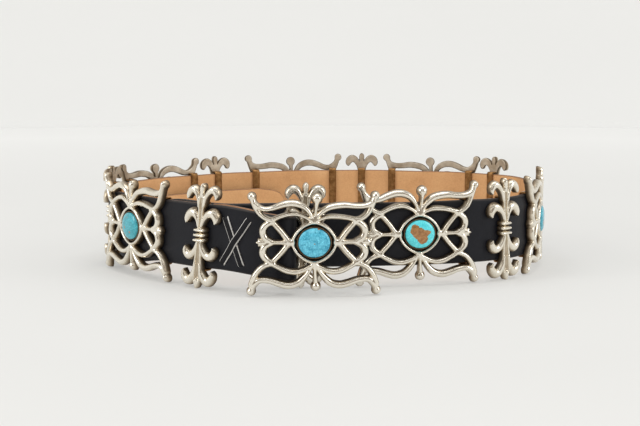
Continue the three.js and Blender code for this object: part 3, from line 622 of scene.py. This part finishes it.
def cabochon():
    """A low flat-topped dome with a rounded shoulder."""
    seat = BACKPLATE + CLEARANCE
    shoulder, dome = seat + STONE_RIM, STONE_DOME + 0.1
    angles = np.linspace(0, math.pi / 2, 14)
    rows = [(0.999, 0, seat)]
    rows += [(math.cos(a) ** 0.62, 0, shoulder + dome * math.sin(a) ** 1.15) for a in angles[:-1]]
    points, faces = lathe(rows)
    low, top = len(points), len(points) + 1
    points = np.vstack((points, (0, seat, 0), (0, shoulder + dome, 0)))
    last = (len(rows) - 1) * ROUND
    faces = turned(faces) + [(i, (i + 1) % ROUND, low) for i in range(ROUND)]
    faces += [(last + (i + 1) % ROUND, last + i, top) for i in range(ROUND)]
    return points, faces


def bezel():
    """The thin wall round the stone, with a soft top edge."""
    lip = BEZEL_HEIGHT + 0.15
    rows = (
        (1, bezel_outer, BACKPLATE - 0.1), (1, bezel_outer, lip - 0.35), (1, bezel_outer - 0.12, lip - 0.08),
        (1, bezel_outer - 0.3, lip), (1, bezel_inner + 0.08, lip - 0.06), (1, bezel_inner, lip - 0.3),
        (1, bezel_inner, BACKPLATE - 0.1),
    )
    points, faces = lathe(rows)
    last = (len(rows) - 1) * ROUND
    faces += [(last + i, last + (i + 1) % ROUND, (i + 1) % ROUND, i) for i in range(ROUND)]
    return points, turned(faces)


def tube(points, radius, sides=12, tip=0.35):
    """Round wire along points, with rounded ends."""
    points = [Vector(p) for p in points]
    start, end = points[0] - points[1], points[-1] - points[-2]
    path = [points[0] + start.normalized() * radius * tip] + points
    path += [points[-1] + end.normalized() * radius * tip]
    radii = [radius * 0.6] + [radius] * len(points) + [radius * 0.6]
    rings = []
    side = None
    for i, point in enumerate(path):
        along = (path[min(i + 1, len(path) - 1)] - path[max(i - 1, 0)]).normalized()
        if side is None:
            side = along.orthogonal().normalized()
        side = (side - along * side.dot(along)).normalized()
        other = along.cross(side)
        for k in range(sides):
            angle = 2 * math.pi * k / sides
            rings.append(point + (side * math.cos(angle) + other * math.sin(angle)) * radii[i])
    return np.array([tuple(v) for v in rings]), skin(len(path), sides)


def strap_loop(across, middle):
    """Flat points of a bent copper strip round the strap, closed behind the casting."""
    half = LOOP_THICKNESS / 2
    top = strap_middle + STRAP_WIDTH / 2 + EDGE_CLEARANCE - middle + half
    bottom = strap_middle - STRAP_WIDTH / 2 - EDGE_CLEARANCE - middle - half
    inner = -(STRAP_THICKNESS + 2 * CLEARANCE) - half
    corner = 1.1
    angles = [math.pi / 2 * k / 4 for k in range(5)]
    arc = [Vector((1 - math.cos(a), 1 - math.sin(a))) * corner for a in angles]
    path = [Vector((SOLDER_BITE, bottom))]
    path += [Vector((inner + a.x, bottom + a.y)) for a in reversed(arc)]
    path += [
        Vector((inner, bottom + corner + (top - bottom - 2 * corner) * k / 12)) for k in range(1, 12)
    ]
    path += [Vector((inner + a.x, top - a.y)) for a in arc]
    path.append(Vector((SOLDER_BITE, top)))
    wide, soft = LOOP_WIDTH / 2, 0.3
    profile = [(-wide, -soft), (-wide + soft, -0.5), (wide - soft, -0.5), (wide, -soft)]
    profile += [(x, -y) for x, y in reversed(profile)]
    points = []
    for i, spot in enumerate(path):
        along = (path[min(i + 1, len(path) - 1)] - path[max(i - 1, 0)]).normalized()
        normal = Vector((-along.y, along.x)) * LOOP_THICKNESS
        points += [(across + x, spot.x + normal.x * y, spot.y + normal.y * y) for x, y in profile]
    return np.array(points), turned(skin(len(path), len(profile)))


def combined(parts):
    points, faces, start = [], [], 0
    for part_points, part_faces in parts:
        points.append(np.asarray(part_points, float))
        faces += [tuple(int(i) + start for i in face) for face in part_faces]
        start += len(part_points)
    return np.vstack(points), faces


# Materials
class Nodes:
    """Short forms for building a material's nodes."""

    def __init__(self, name):
        self.material = bpy.data.materials.new(name)
        self.material.use_nodes = True
        self.tree = self.material.node_tree
        self.shader = self.tree.nodes["Principled BSDF"]
        self.place = self.add("ShaderNodeTexCoord").outputs
        self.where = self.place["Object"]

    def add(self, kind, settings=(), **inputs):
        node = self.tree.nodes.new(kind)
        for key, value in dict(settings).items():
            setattr(node, key, value)
        for key, value in inputs.items():
            self.set(node, key.replace("_", " ").title(), value)
        return node

    def set(self, node, key, value):
        socket = node.inputs[key]
        if isinstance(value, bpy.types.NodeSocket):
            self.tree.links.new(value, socket)
        else:
            socket.default_value = value

    def shade(self, **inputs):
        for key, value in inputs.items():
            self.set(self.shader, key.replace("_", " ").title(), value)

    def noise(self, scale, detail=3.0, roughness=0.5, distortion=0.0):
        node = self.add("ShaderNodeTexNoise", vector=self.where, scale=scale, detail=detail)
        self.set(node, "Roughness", roughness)
        self.set(node, "Distortion", distortion)
        return node.outputs["Fac"]

    def ramp(self, value, stops):
        node = self.add("ShaderNodeValToRGB", fac=value)
        elements = node.color_ramp.elements
        while len(elements) < len(stops):
            elements.new(0.5)
        for element, (position, colour) in zip(elements, stops):
            element.position = position
            element.color = (*colour, 1) if isinstance(colour, tuple) else (colour, colour, colour, 1)
        return node.outputs["Color"]

    def mix(self, share, first, second):
        node = self.add("ShaderNodeMix", {"data_type": "RGBA"})
        for key, value in ((0, share), (6, first), (7, second)):
            self.set(node, key, (*value, 1) if isinstance(value, tuple) else value)
        return node.outputs[2]

    def math(self, operation, first, second=0.0):
        node = self.add("ShaderNodeMath", {"operation": operation})
        self.set(node, 0, first)
        self.set(node, 1, second)
        return node.outputs[0]

    def about(self, value, share):
        """The value's distance from its middle of 0.5, as a share."""
        return self.math("MULTIPLY", self.math("SUBTRACT", value, 0.5), share)

    def length(self, vector):
        node = self.add("ShaderNodeVectorMath", {"operation": "LENGTH"})
        self.set(node, 0, vector)
        return node.outputs["Value"]

    def attribute(self, name):
        return self.add("ShaderNodeAttribute", {"attribute_name": name}).outputs["Fac"]

    def bump(self, height, strength, distance_m):
        node = self.add("ShaderNodeBump", height=height, strength=strength, distance=distance_m)
        self.set(self.shader, "Normal", node.outputs["Normal"])


# Height of the relief, by which the painted shade and the tarnish are graded, and the height whose painted
# shade and tarnish the plain wires get
CAST_RELIEF = 5.0
WIRE_SHADE_AND_TARNISH = 3.2


def silver_material():
    """Cast silver: bright ridges, darker brown low between them, which is painted shade along with tarnish,
    and a dull grey-brown back.
    """
    n = Nodes("cast silver")
    depth = n.math("DIVIDE", n.attribute("depth"), CAST_RELIEF)
    blotches = n.noise(190, 3, 0.55)
    level = n.math("ADD", depth, n.about(blotches, 0.35))
    # Painted shade: the tone darkens from the top of the relief to its base, along with brown tarnish in the
    # hollows
    tone = n.ramp(level, (
        (0.12, (0.12, 0.084, 0.052)), (0.36, (0.25, 0.187, 0.122)), (0.56, (0.49, 0.41, 0.305)),
        (0.74, (0.72, 0.65, 0.53)), (0.92, (0.88, 0.83, 0.73)),
    ))
    dull = n.ramp(n.noise(130, 4, 0.6), ((0.35, (0.40, 0.33, 0.245)), (0.65, (0.62, 0.56, 0.46))))
    back = n.ramp(depth, ((0.008, 1.0), (0.03, 0.0)))
    tone = n.mix(back, tone, dull)
    rough = n.ramp(level, ((0.2, 0.5), (0.5, 0.4), (0.75, 0.27), (0.95, 0.18)))
    rough = n.math("MAXIMUM", rough, n.math("MULTIPLY", back, 0.48))
    n.shade(base_color=tone, metallic=1.0, roughness=rough)
    pits = n.noise(1500, 2, 0.5)
    n.bump(n.math("ADD", n.noise(210, 2, 0.45), n.math("MULTIPLY", pits, 0.05)), 0.16, 0.0005)
    return n.material


def copper_material():
    n = Nodes("copper strip")
    tone = n.ramp(n.noise(300, 4, 0.6), (
        (0.3, (0.15, 0.072, 0.026)), (0.5, (0.26, 0.135, 0.050)), (0.7, (0.38, 0.215, 0.09)),
    ))
    n.shade(base_color=tone, metallic=1.0, roughness=0.42)
    n.bump(n.noise(900, 3), 0.3, 0.0002)
    return n.material


def bezel_material():
    n = Nodes("bezel silver")
    depth = n.math("DIVIDE", n.attribute("depth"), 4.0)
    # Painted shade: near-black silver that darkens towards the base of the setting round the stone
    tone = n.ramp(depth, (
        (0.3, (0.06, 0.03, 0.018)), (0.8, (0.13, 0.075, 0.045)), (0.97, (0.22, 0.14, 0.085)),
    ))
    n.shade(base_color=tone, metallic=1.0, roughness=0.25)
    n.bump(n.noise(1500, 2), 0.3, 0.0002)
    return n.material


def grain_material():
    """Black grain side: fine pores, faint creases and slight dusty rubs."""
    n = Nodes("black leather")
    rubs = n.noise(45, 5, 0.65)
    tone = n.ramp(rubs, (
        (0.35, (0.006, 0.0065, 0.0095)), (0.62, (0.010, 0.0105, 0.0145)), (0.8, (0.018, 0.018, 0.022)),
    ))
    n.shade(base_color=tone, roughness=n.ramp(rubs, ((0.3, 0.42), (0.75, 0.56))))
    n.shader.inputs["Specular IOR Level"].default_value = 0.22
    pores = n.add("ShaderNodeTexVoronoi", {"feature": "SMOOTH_F1"}, vector=n.where, scale=1500)
    height = n.math("ADD", n.math("MULTIPLY", pores.outputs["Distance"], 0.5), n.noise(420, 4, 0.6))
    n.bump(height, 0.35, 0.00025)
    return n.material


def flesh_material():
    """Natural tan flesh side with a soft nap, faint stains and rubbed spots."""
    n = Nodes("tan leather")
    clouds = n.noise(28, 5, 0.62)
    tone = n.ramp(clouds, (
        (0.25, (0.44, 0.215, 0.080)), (0.45, (0.60, 0.315, 0.128)), (0.62, (0.66, 0.365, 0.158)),
        (0.8, (0.72, 0.42, 0.20)),
    ))
    fibres = n.noise(900, 4, 0.7)
    tone = n.mix(0.22, tone, n.ramp(fibres, ((0.3, (0.32, 0.15, 0.06)), (0.7, (0.72, 0.44, 0.24)))))
    n.shade(base_color=tone, roughness=0.78)
    n.bump(fibres, 0.4, 0.0003)
    return n.material


def edge_material():
    """Cut edge: dyed dark towards the grain side, raw tan towards the flesh side."""
    n = Nodes("cut leather edge")
    side = n.attribute("depth")
    worn = n.math("ADD", side, n.about(n.noise(160, 4, 0.6), 2.4))
    tone = n.ramp(n.math("ADD", n.math("MULTIPLY", worn, 0.33), 0.5), (
        (0.22, (0.32, 0.16, 0.072)), (0.36, (0.12, 0.056, 0.028)), (0.48, (0.018, 0.014, 0.013)),
    ))
    n.shade(base_color=tone, roughness=0.7)
    n.bump(n.noise(1400, 4, 0.7), 0.4, 0.0003)
    return n.material


def lace_material():
    n = Nodes("black lace")
    across = n.attribute("depth")
    # Painted highlight: the lace's two side edges are near-white, its middle black
    tone = n.ramp(n.math("ABSOLUTE", across), ((0.72, (0.006, 0.006, 0.008)), (0.80, (0.78, 0.76, 0.73))))
    n.shade(base_color=tone, roughness=0.5)
    n.shader.inputs["Specular IOR Level"].default_value = 0.2
    n.bump(n.noise(900, 3), 0.3, 0.0002)
    return n.material


def turquoise_material(name, ground, dark, seed, matrix):
    """Turquoise: a mottled ground with darker clouds, and brown matrix in patches of wavering outline."""
    n = Nodes(name)
    flat = n.place["UV"]
    moved = n.add("ShaderNodeMapping", vector=flat)
    moved.inputs["Location"].default_value = (seed, seed * 0.37, 0)
    n.where = moved.outputs["Vector"]
    clouds = n.noise(28, 5, 0.65, 0.3)
    tone = n.mix(n.ramp(clouds, ((0.38, 0.0), (0.62, 1.0))), ground, dark)
    fine = n.noise(120, 4, 0.7)
    light = tuple(min(1.0, c * 1.35 + 0.05) for c in ground)
    tone = n.mix(n.ramp(fine, ((0.5, 0.0), (0.66, 0.8))), tone, light)
    specks = n.noise(170, 3, 0.6)
    tone = n.mix(n.ramp(specks, ((0.56, 0.0), (0.68, 0.7))), tone, dark)
    waver = n.about(n.noise(22, 4, 0.6), 1.1)
    share = 0.0
    for centre, radii, turn in matrix:
        spot = n.add("ShaderNodeMapping", {"vector_type": "TEXTURE"}, vector=flat)
        spot.inputs["Location"].default_value = (centre[0] * UV_PER_MM, centre[1] * UV_PER_MM, 0)
        spot.inputs["Rotation"].default_value = (0, 0, math.radians(turn))
        spot.inputs["Scale"].default_value = (radii[0] * UV_PER_MM, radii[1] * UV_PER_MM, 1)
        rim = n.math("ADD", n.length(spot.outputs["Vector"]), waver)
        share = n.math("MAXIMUM", share, n.ramp(rim, ((0.92, 1.0), (1.0, 0.0))))
    brown = n.ramp(n.noise(60, 4, 0.6), (
        (0.35, (0.22, 0.095, 0.025)), (0.55, (0.38, 0.18, 0.055)), (0.75, (0.48, 0.26, 0.10)),
    ))
    n.shade(base_color=n.mix(share, tone, brown), roughness=0.22, coat_weight=0.35, coat_roughness=0.08)
    n.bump(n.noise(60, 3), 0.08, 0.0004)
    return n.material


def floor_material():
    """Pale paper that glows a little, more towards the wall, so its shadows stay faint."""
    n = Nodes("pale paper")
    tone = n.ramp(n.noise(3, 2), ((0.3, (0.395, 0.39, 0.38)), (0.7, (0.405, 0.40, 0.39))))
    n.shade(base_color=tone, roughness=0.9)
    n.shader.inputs["Specular IOR Level"].default_value = 0.1
    glow = n.ramp(n.math("DIVIDE", n.length(n.where), 2.0), (
        (0.15, (0.40, 0.403, 0.392)), (0.65, (0.66, 0.662, 0.646)),
    ))
    n.set(n.shader, "Emission Color", glow)
    n.shader.inputs["Emission Strength"].default_value = 0.8
    return n.material


def card_material():
    """Dull brown card that the silver reflects from the camera's side."""
    n = Nodes("brown card")
    tone = n.ramp(n.noise(2, 2), ((0.3, (0.17, 0.135, 0.10)), (0.7, (0.22, 0.175, 0.13))))
    n.shade(base_color=tone, roughness=0.9)
    return n.material


silver = silver_material()
copper = copper_material()
bezel_silver = bezel_material()
grain, flesh, edge = grain_material(), flesh_material(), edge_material()
lace_leather = lace_material()


# Strap: one long swept section with soft corners
def strap_sections():
    """Plan points of the strap's middle, with its middle height and width at each."""
    step = 2.0
    rows = []

    def add(points, middles, widths):
        count = len(points)
        columns = [np.broadcast_to(values, count) for values in (middles, widths)]
        rows.append(np.column_stack((points, *columns)))

    def spread(start, end):
        return np.linspace(start, end, max(2, round(abs(end - start) / step) + 1))

    tail = spread(TAIL_LENGTH, 0)
    add(run.shifted(tail, tail_offset(tail)), end_middle(tail), end_width(tail))
    angles = np.linspace(0, math.pi, 15)[1:-1, None]
    fold = bar_point - fold_radius * (bar_outward * np.cos(angles) + bar_along * np.sin(angles))
    add(fold, float(end_middle(0)), STRAP_END_WIDTH)
    outer = spread(0, run.length)
    add(run.shifted(outer, outer_offset(outer)), end_middle(outer), end_width(outer))
    leave, leave_along, _ = (v.reshape(2) for v in run.at(run.length))
    _, arrive_along, _ = (v.reshape(2) for v in run.at(TONGUE_JOINS))
    landing = tongue_point(TONGUE_JOINS)
    pull = np.linalg.norm(landing - leave) / 3
    t = np.linspace(0, 1, 60)[1:, None]
    controls = (leave, leave + leave_along * pull, landing - arrive_along * pull, landing)
    weights = ((1 - t) ** 3, 3 * t * (1 - t) ** 2, 3 * t**2 * (1 - t), t**3)
    add(sum(w * c for w, c in zip(weights, controls)), strap_middle, STRAP_WIDTH)
    end = TONGUE_JOINS + TONGUE_LENGTH
    tongue = np.concatenate((spread(TONGUE_JOINS, end - 20)[1:], end - np.array(TIP_SECTIONS)))
    width = STRAP_WIDTH * np.interp(end - tongue, TIP_TAPER["back"], TIP_TAPER["width"])
    add(run.shifted(tongue, tongue_offset(tongue)), tongue_middle(tongue), width)
    return np.vstack(rows)


# Materials of the strap's faces, and the inset of its flat faces from the edges
GRAIN, FLESH, EDGE = 0, 1, 2
FACE_INSET = 1.6


def strap_profile():
    """(outward, share of the half width, inset from that edge, kind) round the section, from low outside."""
    half = STRAP_THICKNESS / 2
    face = np.linspace(-1, 1, 11)[1:-1]
    edge_line = ((half - 0.25, 0.32), (half - 0.8, 0.03), (0, 0), (-half + 0.5, 0.02), (-half + 0.12, 0.2))
    rows = [(half, -1, 0.9, GRAIN), (half, -1, FACE_INSET, GRAIN)]
    rows += [(half, share, 0, GRAIN) for share in face]
    rows += [(half, 1, FACE_INSET, GRAIN), (half, 1, 0.9, GRAIN)]
    rows += [(out, 1, inset, EDGE) for out, inset in edge_line]
    rows += [(-half, 1, 0.6, FLESH)]
    rows += [(-half, share, 0, FLESH) for share in face[::-1]]
    rows += [(-half, -1, 0.6, FLESH)]
    rows += [(out, -1, inset, EDGE) for out, inset in reversed(edge_line)]
    return rows


def strap_piece():
    sections = strap_sections()
    rail = Rail(sections[:, :2])
    _, _, outward = rail.at(rail.lengths)
    profile = strap_profile()
    sides = len(profile)
    points, flat = [], []
    for i, (x, y, middle, width) in enumerate(sections):
        half = width / 2
        wave = 0.12 * math.sin(rail.lengths[i] * 0.11) + 0.1 * math.sin(rail.lengths[i] * 0.043 + 1.2)
        for out, share, inset, _ in profile:
            height = share * (half - FACE_INSET)
            if abs(share) == 1:
                height = share * half - math.copysign(inset, share)
            lift = middle + height + (wave if height > 0 and middle > STRAP_WIDTH / 2 + 3 else 0)
            points.append((x + outward[i, 0] * out, y + outward[i, 1] * out, lift))
            flat.append((rail.lengths[i], out, height))
    band = []
    for (*_, kind), (*_, following) in zip(profile, profile[1:] + profile[:1]):
        band.append(EDGE if EDGE in (kind, following) else min(kind, following))
    faces = skin(len(sections), sides)
    obj = new_object("strap_leather", points, faces, [grain, flesh, edge], flat)
    kinds = band * (len(sections) - 1) + [EDGE, EDGE]
    obj.data.polygons.foreach_set("material_index", np.array(kinds))
    return obj


def punch(obj, cutters):
    """Cuts the holes and slots out of a piece, with the cutters taken away after."""
    for cutter in cutters:
        modifier = obj.modifiers.new("hole", "BOOLEAN")
        modifier.operation = "DIFFERENCE"
        modifier.solver = "EXACT"
        modifier.object = cutter
    bpy.context.view_layer.update()
    graph = bpy.context.evaluated_depsgraph_get()
    cut = obj.evaluated_get(graph)
    mesh = bpy.data.meshes.new_from_object(cut, preserve_all_data_layers=True, depsgraph=graph)
    obj.modifiers.clear()
    obj.data = mesh
    for cutter in cutters:
        bpy.data.objects.remove(cutter, do_unlink=True)


def slot_cutters():
    half, thick = LACE_WIDTH / 2 + 0.25, LACE_THICKNESS / 2 + 0.3
    outline = []
    for a in np.linspace(0, 2 * math.pi, 20, endpoint=False):
        x, z = math.cos(a), math.sin(a)
        outline.append((half * np.sign(x) * abs(x) ** 0.6, thick * np.sign(z) * abs(z) ** 0.8))
    cutters = []
    for i, (across, up) in enumerate(LACE_CORNERS):
        flat = [(across + x, depth, up + z) for depth in (-2 * liner_offset - 2, 2) for x, z in outline]
        cutters.append(new_object(f"slot_{i}", on_end(np.array(flat)), skin(2, len(outline)), edge))
    return cutters


def hole_cutters():
    cutters = []
    for i in range(HOLE_COUNT):
        distance = TONGUE_JOINS + FIRST_HOLE + i * HOLE_PITCH
        _, _, outward = (v.reshape(2) for v in run.at(distance))
        spot, middle = tongue_point(distance), float(tongue_middle(distance))
        ends = [(*(spot + outward * reach), middle) for reach in (-STRAP_THICKNESS, 0, STRAP_THICKNESS)]
        cutters.append(new_object(f"hole_{i}", *tube(ends, HOLE_RADIUS, 24), edge))
    return cutters


strap = strap_piece()
punch(strap, slot_cutters() + hole_cutters())
dress(strap, "strap", "strap")


# Lacing
LACE_PROFILE = ((-1, 0.0), (-0.86, 0.9), (-0.5, 1.0), (0, 1.04), (0.5, 1.0), (0.86, 0.9), (1, 0.0))
LACE_DIP = 1.9


def lace_run(start, end, side_in, hump=0.0):
    """A flat lace from one slot to another: side_in is True on the inside. It dips into its slots."""
    start, end = np.array(start, float), np.array(end, float)
    along = (end - start) / np.linalg.norm(end - start)
    side = np.array((-along[1], along[0])) * LACE_WIDTH / 2
    count = 36
    points, tags = [], []
    out = -1 if side_in else 1
    base = -2 * STRAP_THICKNESS - 3 * CLEARANCE if side_in else CLEARANCE * 0.3
    for t in np.arange(count + 1) / count:
        spot = start + (end - start) * t
        dip = -LACE_DIP * (1 - smooth(0, 0.07, t)) - LACE_DIP * smooth(0.93, 1, t)
        rise = hump * math.exp(-(((t - 0.5) / 0.12) ** 2))
        for across, level in LACE_PROFILE:
            depth = base + out * (level * LACE_THICKNESS + dip + rise)
            points.append((spot[0] + side[0] * across, depth, spot[1] + side[1] * across))
            tags.append(across)
    faces = skin(count + 1, len(LACE_PROFILE))
    return np.array(points), faces if side_in else turned(faces), tags


def lace_piece():
    top_first, bottom_last, bottom_first, top_last = LACE_CORNERS
    runs = (
        lace_run(top_first, bottom_last, False, LACE_THICKNESS + 0.15),
        lace_run(top_last, bottom_first, False),
        lace_run(bottom_first, top_first, True),
        lace_run(bottom_last, top_last, True),
    )
    points, faces = combined([(p, f) for p, f, _ in runs])
    obj = new_object("lace_cross", on_end(points), faces, lace_leather, points)
    # Each point's place across the lace, which sets where the painted edge highlights fall
    tags = np.concatenate([t for _, _, t in runs]).astype(float)
    obj.data.attributes["depth"].data.foreach_set("value", tags)
    return dress(obj, "lacing", "lacing")


lace_piece()

# Stones: ground and darker colour, seed of the mottling, and patches of matrix as (middle, radii, turn)
STONES = {
    "stone_buckle": (
        (0.14, 0.60, 0.80), (0.01, 0.26, 0.42), 1.3,
        (((0, -0.4), (0.5, 0.35), 10), ((-2.6, 7.9), (0.8, 0.5), -10)),
    ),
    "stone_front": (
        (0.12, 0.72, 0.80), (0.07, 0.60, 0.68), 2.1,
        (((3.4, 2.4), (3, 3.2), 0), ((0.4, 0.2), (5, 3.9), 20), ((-3.4, 1.2), (2.6, 1.6), 0),
         ((-1.2, -3), (3.6, 2.7), 10)),
    ),
    "stone_left": (
        (0.06, 0.42, 0.50), (0.02, 0.27, 0.33), 3.7,
        (((-2.2, -3.5), (0.8, 0.5), 20), ((3.4, -1), (0.5, 0.9), 0), ((0.6, 5.4), (0.6, 0.35), 0)),
    ),
    "stone_back_left": ((0.055, 0.40, 0.50), (0.02, 0.26, 0.35), 4.9, (((2.5, 1), (2.4, 1.2), 35),)),
    "stone_back": ((0.07, 0.46, 0.55), (0.025, 0.28, 0.38), 6.4, (((-3, 2), (1.5, 0.9), 70),)),
    "stone_back_right": ((0.06, 0.44, 0.50), (0.02, 0.30, 0.36), 7.7, (((0, -4), (3.4, 1), 10),)),
    "stone_right": ((0.065, 0.43, 0.54), (0.02, 0.27, 0.37), 9.2, (((3, -2), (1.3, 2), 25),)),
}

# Castings
FINE, COARSE = 0.42, 0.5
concho_meshes = {pitch: concho_mould(pitch) for pitch in (FINE, COARSE)}
buckle_mesh = concho_mould(FINE, BUCKLE_CREST_RISE)
cabochon_mesh = cabochon()
bezel_mesh = bezel()
NEAR = ("concho_front", "concho_left")


def cast_object(name, mesh, place, material):
    points, faces = mesh
    return new_object(name, place(points), faces, material, points)


def concho_piece(name):
    place = casting_place(name)
    relief = buckle_mesh if name == "buckle" else concho_meshes[FINE if name in NEAR else COARSE]
    dress(cast_object(f"{name}_silver", relief, place, silver), "castings", name)
    dress(cast_object(f"{name}_bezel", bezel_mesh, place, bezel_silver), "castings")
    stone = "stone_buckle" if name == "buckle" else name.replace("concho", "stone")
    ground, dark, seed, matrix = STONES[stone]
    material = turquoise_material(stone.replace("_", " "), ground, dark, seed, matrix)
    dress(cast_object(f"{stone}_turquoise", cabochon_mesh, place, material), "stones", stone)
    if name != "buckle":
        loops = combined([strap_loop(across, concho_middle) for across in (-LOOP_SPREAD, LOOP_SPREAD)])
        dress(cast_object(f"{name}_loops", loops, place, copper), "castings")


def buckle_wires():
    depth = -bar_standoff
    bend = 1.6
    corner = [(bend * (1 - math.sin(a)), bend * (1 - math.cos(a))) for a in np.linspace(0, math.pi / 2, 6)]
    frame_path = [(BAR_ACROSS, SOLDER_BITE, POST_BOTTOM), (BAR_ACROSS, depth + bend, POST_BOTTOM)]
    frame_path += [(BAR_ACROSS, depth + s, POST_BOTTOM + c) for s, c in corner[1:]]
    rows = np.linspace(POST_BOTTOM + bend, POST_TOP - bend, 9)[1:-1]
    frame_path += [(BAR_ACROSS, depth, up) for up in rows]
    frame_path += [(BAR_ACROSS, depth + c, POST_TOP - s) for s, c in corner]
    frame_path += [(BAR_ACROSS, SOLDER_BITE, POST_TOP)]
    hook = [(-HOOK_ACROSS, SOLDER_BITE, 0), (-HOOK_ACROSS, -HOOK_REACH + bend, 0)]
    hook += [(-HOOK_ACROSS - c, -HOOK_REACH + s, 0) for s, c in corner[1:]]
    hook += [(-HOOK_ACROSS - HOOK_TIP, -HOOK_REACH, 0)]
    points, faces = combined([tube(frame_path, BAR_RADIUS), tube(hook, HOOK_RADIUS)])
    tags = points.copy()
    # The wires get one mid tone of the painted shade and tarnish, set by this height
    tags[:, 1] = WIRE_SHADE_AND_TARNISH
    return dress(new_object("buckle_wires", on_buckle(points), faces, silver, tags), "castings")


for name in ("buckle", *(n for n in stations if n.startswith("concho"))):
    concho_piece(name)
buckle_wires()

for name, (_, lean) in stations.items():
    if name.startswith("fleur"):
        front = name in ("fleur_1", "fleur_6", "fleur_7")
        relief = fleur_mould(FINE if front else COARSE, lean)
        place = casting_place(name)
        dress(cast_object(f"{name}_silver", relief, place, silver), "castings", name)
        dress(cast_object(f"{name}_loop", strap_loop(0, FLEUR_DROP), place, copper), "castings")


# Studio: camera, pale sweep and soft lights
def add_camera():
    data = bpy.data.cameras.new("camera")
    data.lens, data.sensor_width = LENS, SENSOR
    data.clip_end = 20
    camera = linked("camera", data)
    camera.location = (np.array((CAMERA_X, CAMERA_Y, CAMERA_HEIGHT)) + shift) * MM
    camera.rotation_euler = (math.radians(90 - CAMERA_PITCH_DOWN), 0, 0)
    bpy.context.scene.camera = camera


def add_floor():
    """A round pale floor that curves up into a wall on all sides."""
    line = [(0.0, 0.0), (1.6, 0.0)]
    line += [(1.6 + 0.9 * math.sin(a), 0.9 * (1 - math.cos(a))) for a in np.linspace(0, math.pi / 2, 13)[1:]]
    line += [(2.5, 3.0)]
    sides = 96
    points = [
        (r * math.cos(a), r * math.sin(a), z)
        for r, z in line[1:] for a in np.linspace(0, 2 * math.pi, sides, endpoint=False)
    ]
    faces = [tuple(range(sides))] + skin(len(line) - 1, sides, capped=False)
    mesh = bpy.data.meshes.new("floor")
    mesh.from_pydata(points, [], faces)
    mesh.materials.append(floor_material())
    for polygon in mesh.polygons:
        polygon.use_smooth = len(polygon.vertices) == 4
    linked("floor", mesh)


def add_card(name, corners):
    """A card outside the picture, seen only in reflections."""
    mesh = bpy.data.meshes.new(name)
    mesh.from_pydata(corners, [], [(0, 1, 2, 3)])
    mesh.materials.append(card_material())
    card = linked(name, mesh)
    card.visible_camera = False
    card.visible_shadow = False


def add_area(name, place_m, aim_m, size_m, power):
    data = bpy.data.lights.new(name, "AREA")
    data.shape = "RECTANGLE"
    data.size, data.size_y = size_m
    data.energy = power
    light = linked(name, data)
    light.location = place_m
    light.rotation_euler = (Vector(aim_m) - Vector(place_m)).to_track_quat("-Z", "Y").to_euler()


add_camera()
add_floor()
add_card("front card", [(-1.5, -1.15, 0.03), (1.5, -1.15, 0.03), (1.5, -1.3, 0.95), (-1.5, -1.3, 0.95)])
add_area("overhead", (0.0, 0.05, 1.25), (0, 0, 0), (1.1, 0.7), 7.5)
add_area("front", (0.0, -1.45, 0.8), (0, 0, 0.0), (0.9, 0.35), 7)
add_area("left", (-1.25, -0.55, 0.75), (0, 0, 0.03), (0.35, 0.8), 5.5)
add_area("right", (1.25, -0.5, 0.7), (0, 0, 0.03), (0.3, 0.8), 4.5)
world = bpy.data.worlds.new("studio")
bpy.context.scene.world = world
world.use_nodes = True
background = world.node_tree.nodes["Background"]
background.inputs["Color"].default_value = (1, 1, 1, 1)
background.inputs["Strength"].default_value = 0.34
bpy.context.scene.view_settings.view_transform = "Standard"
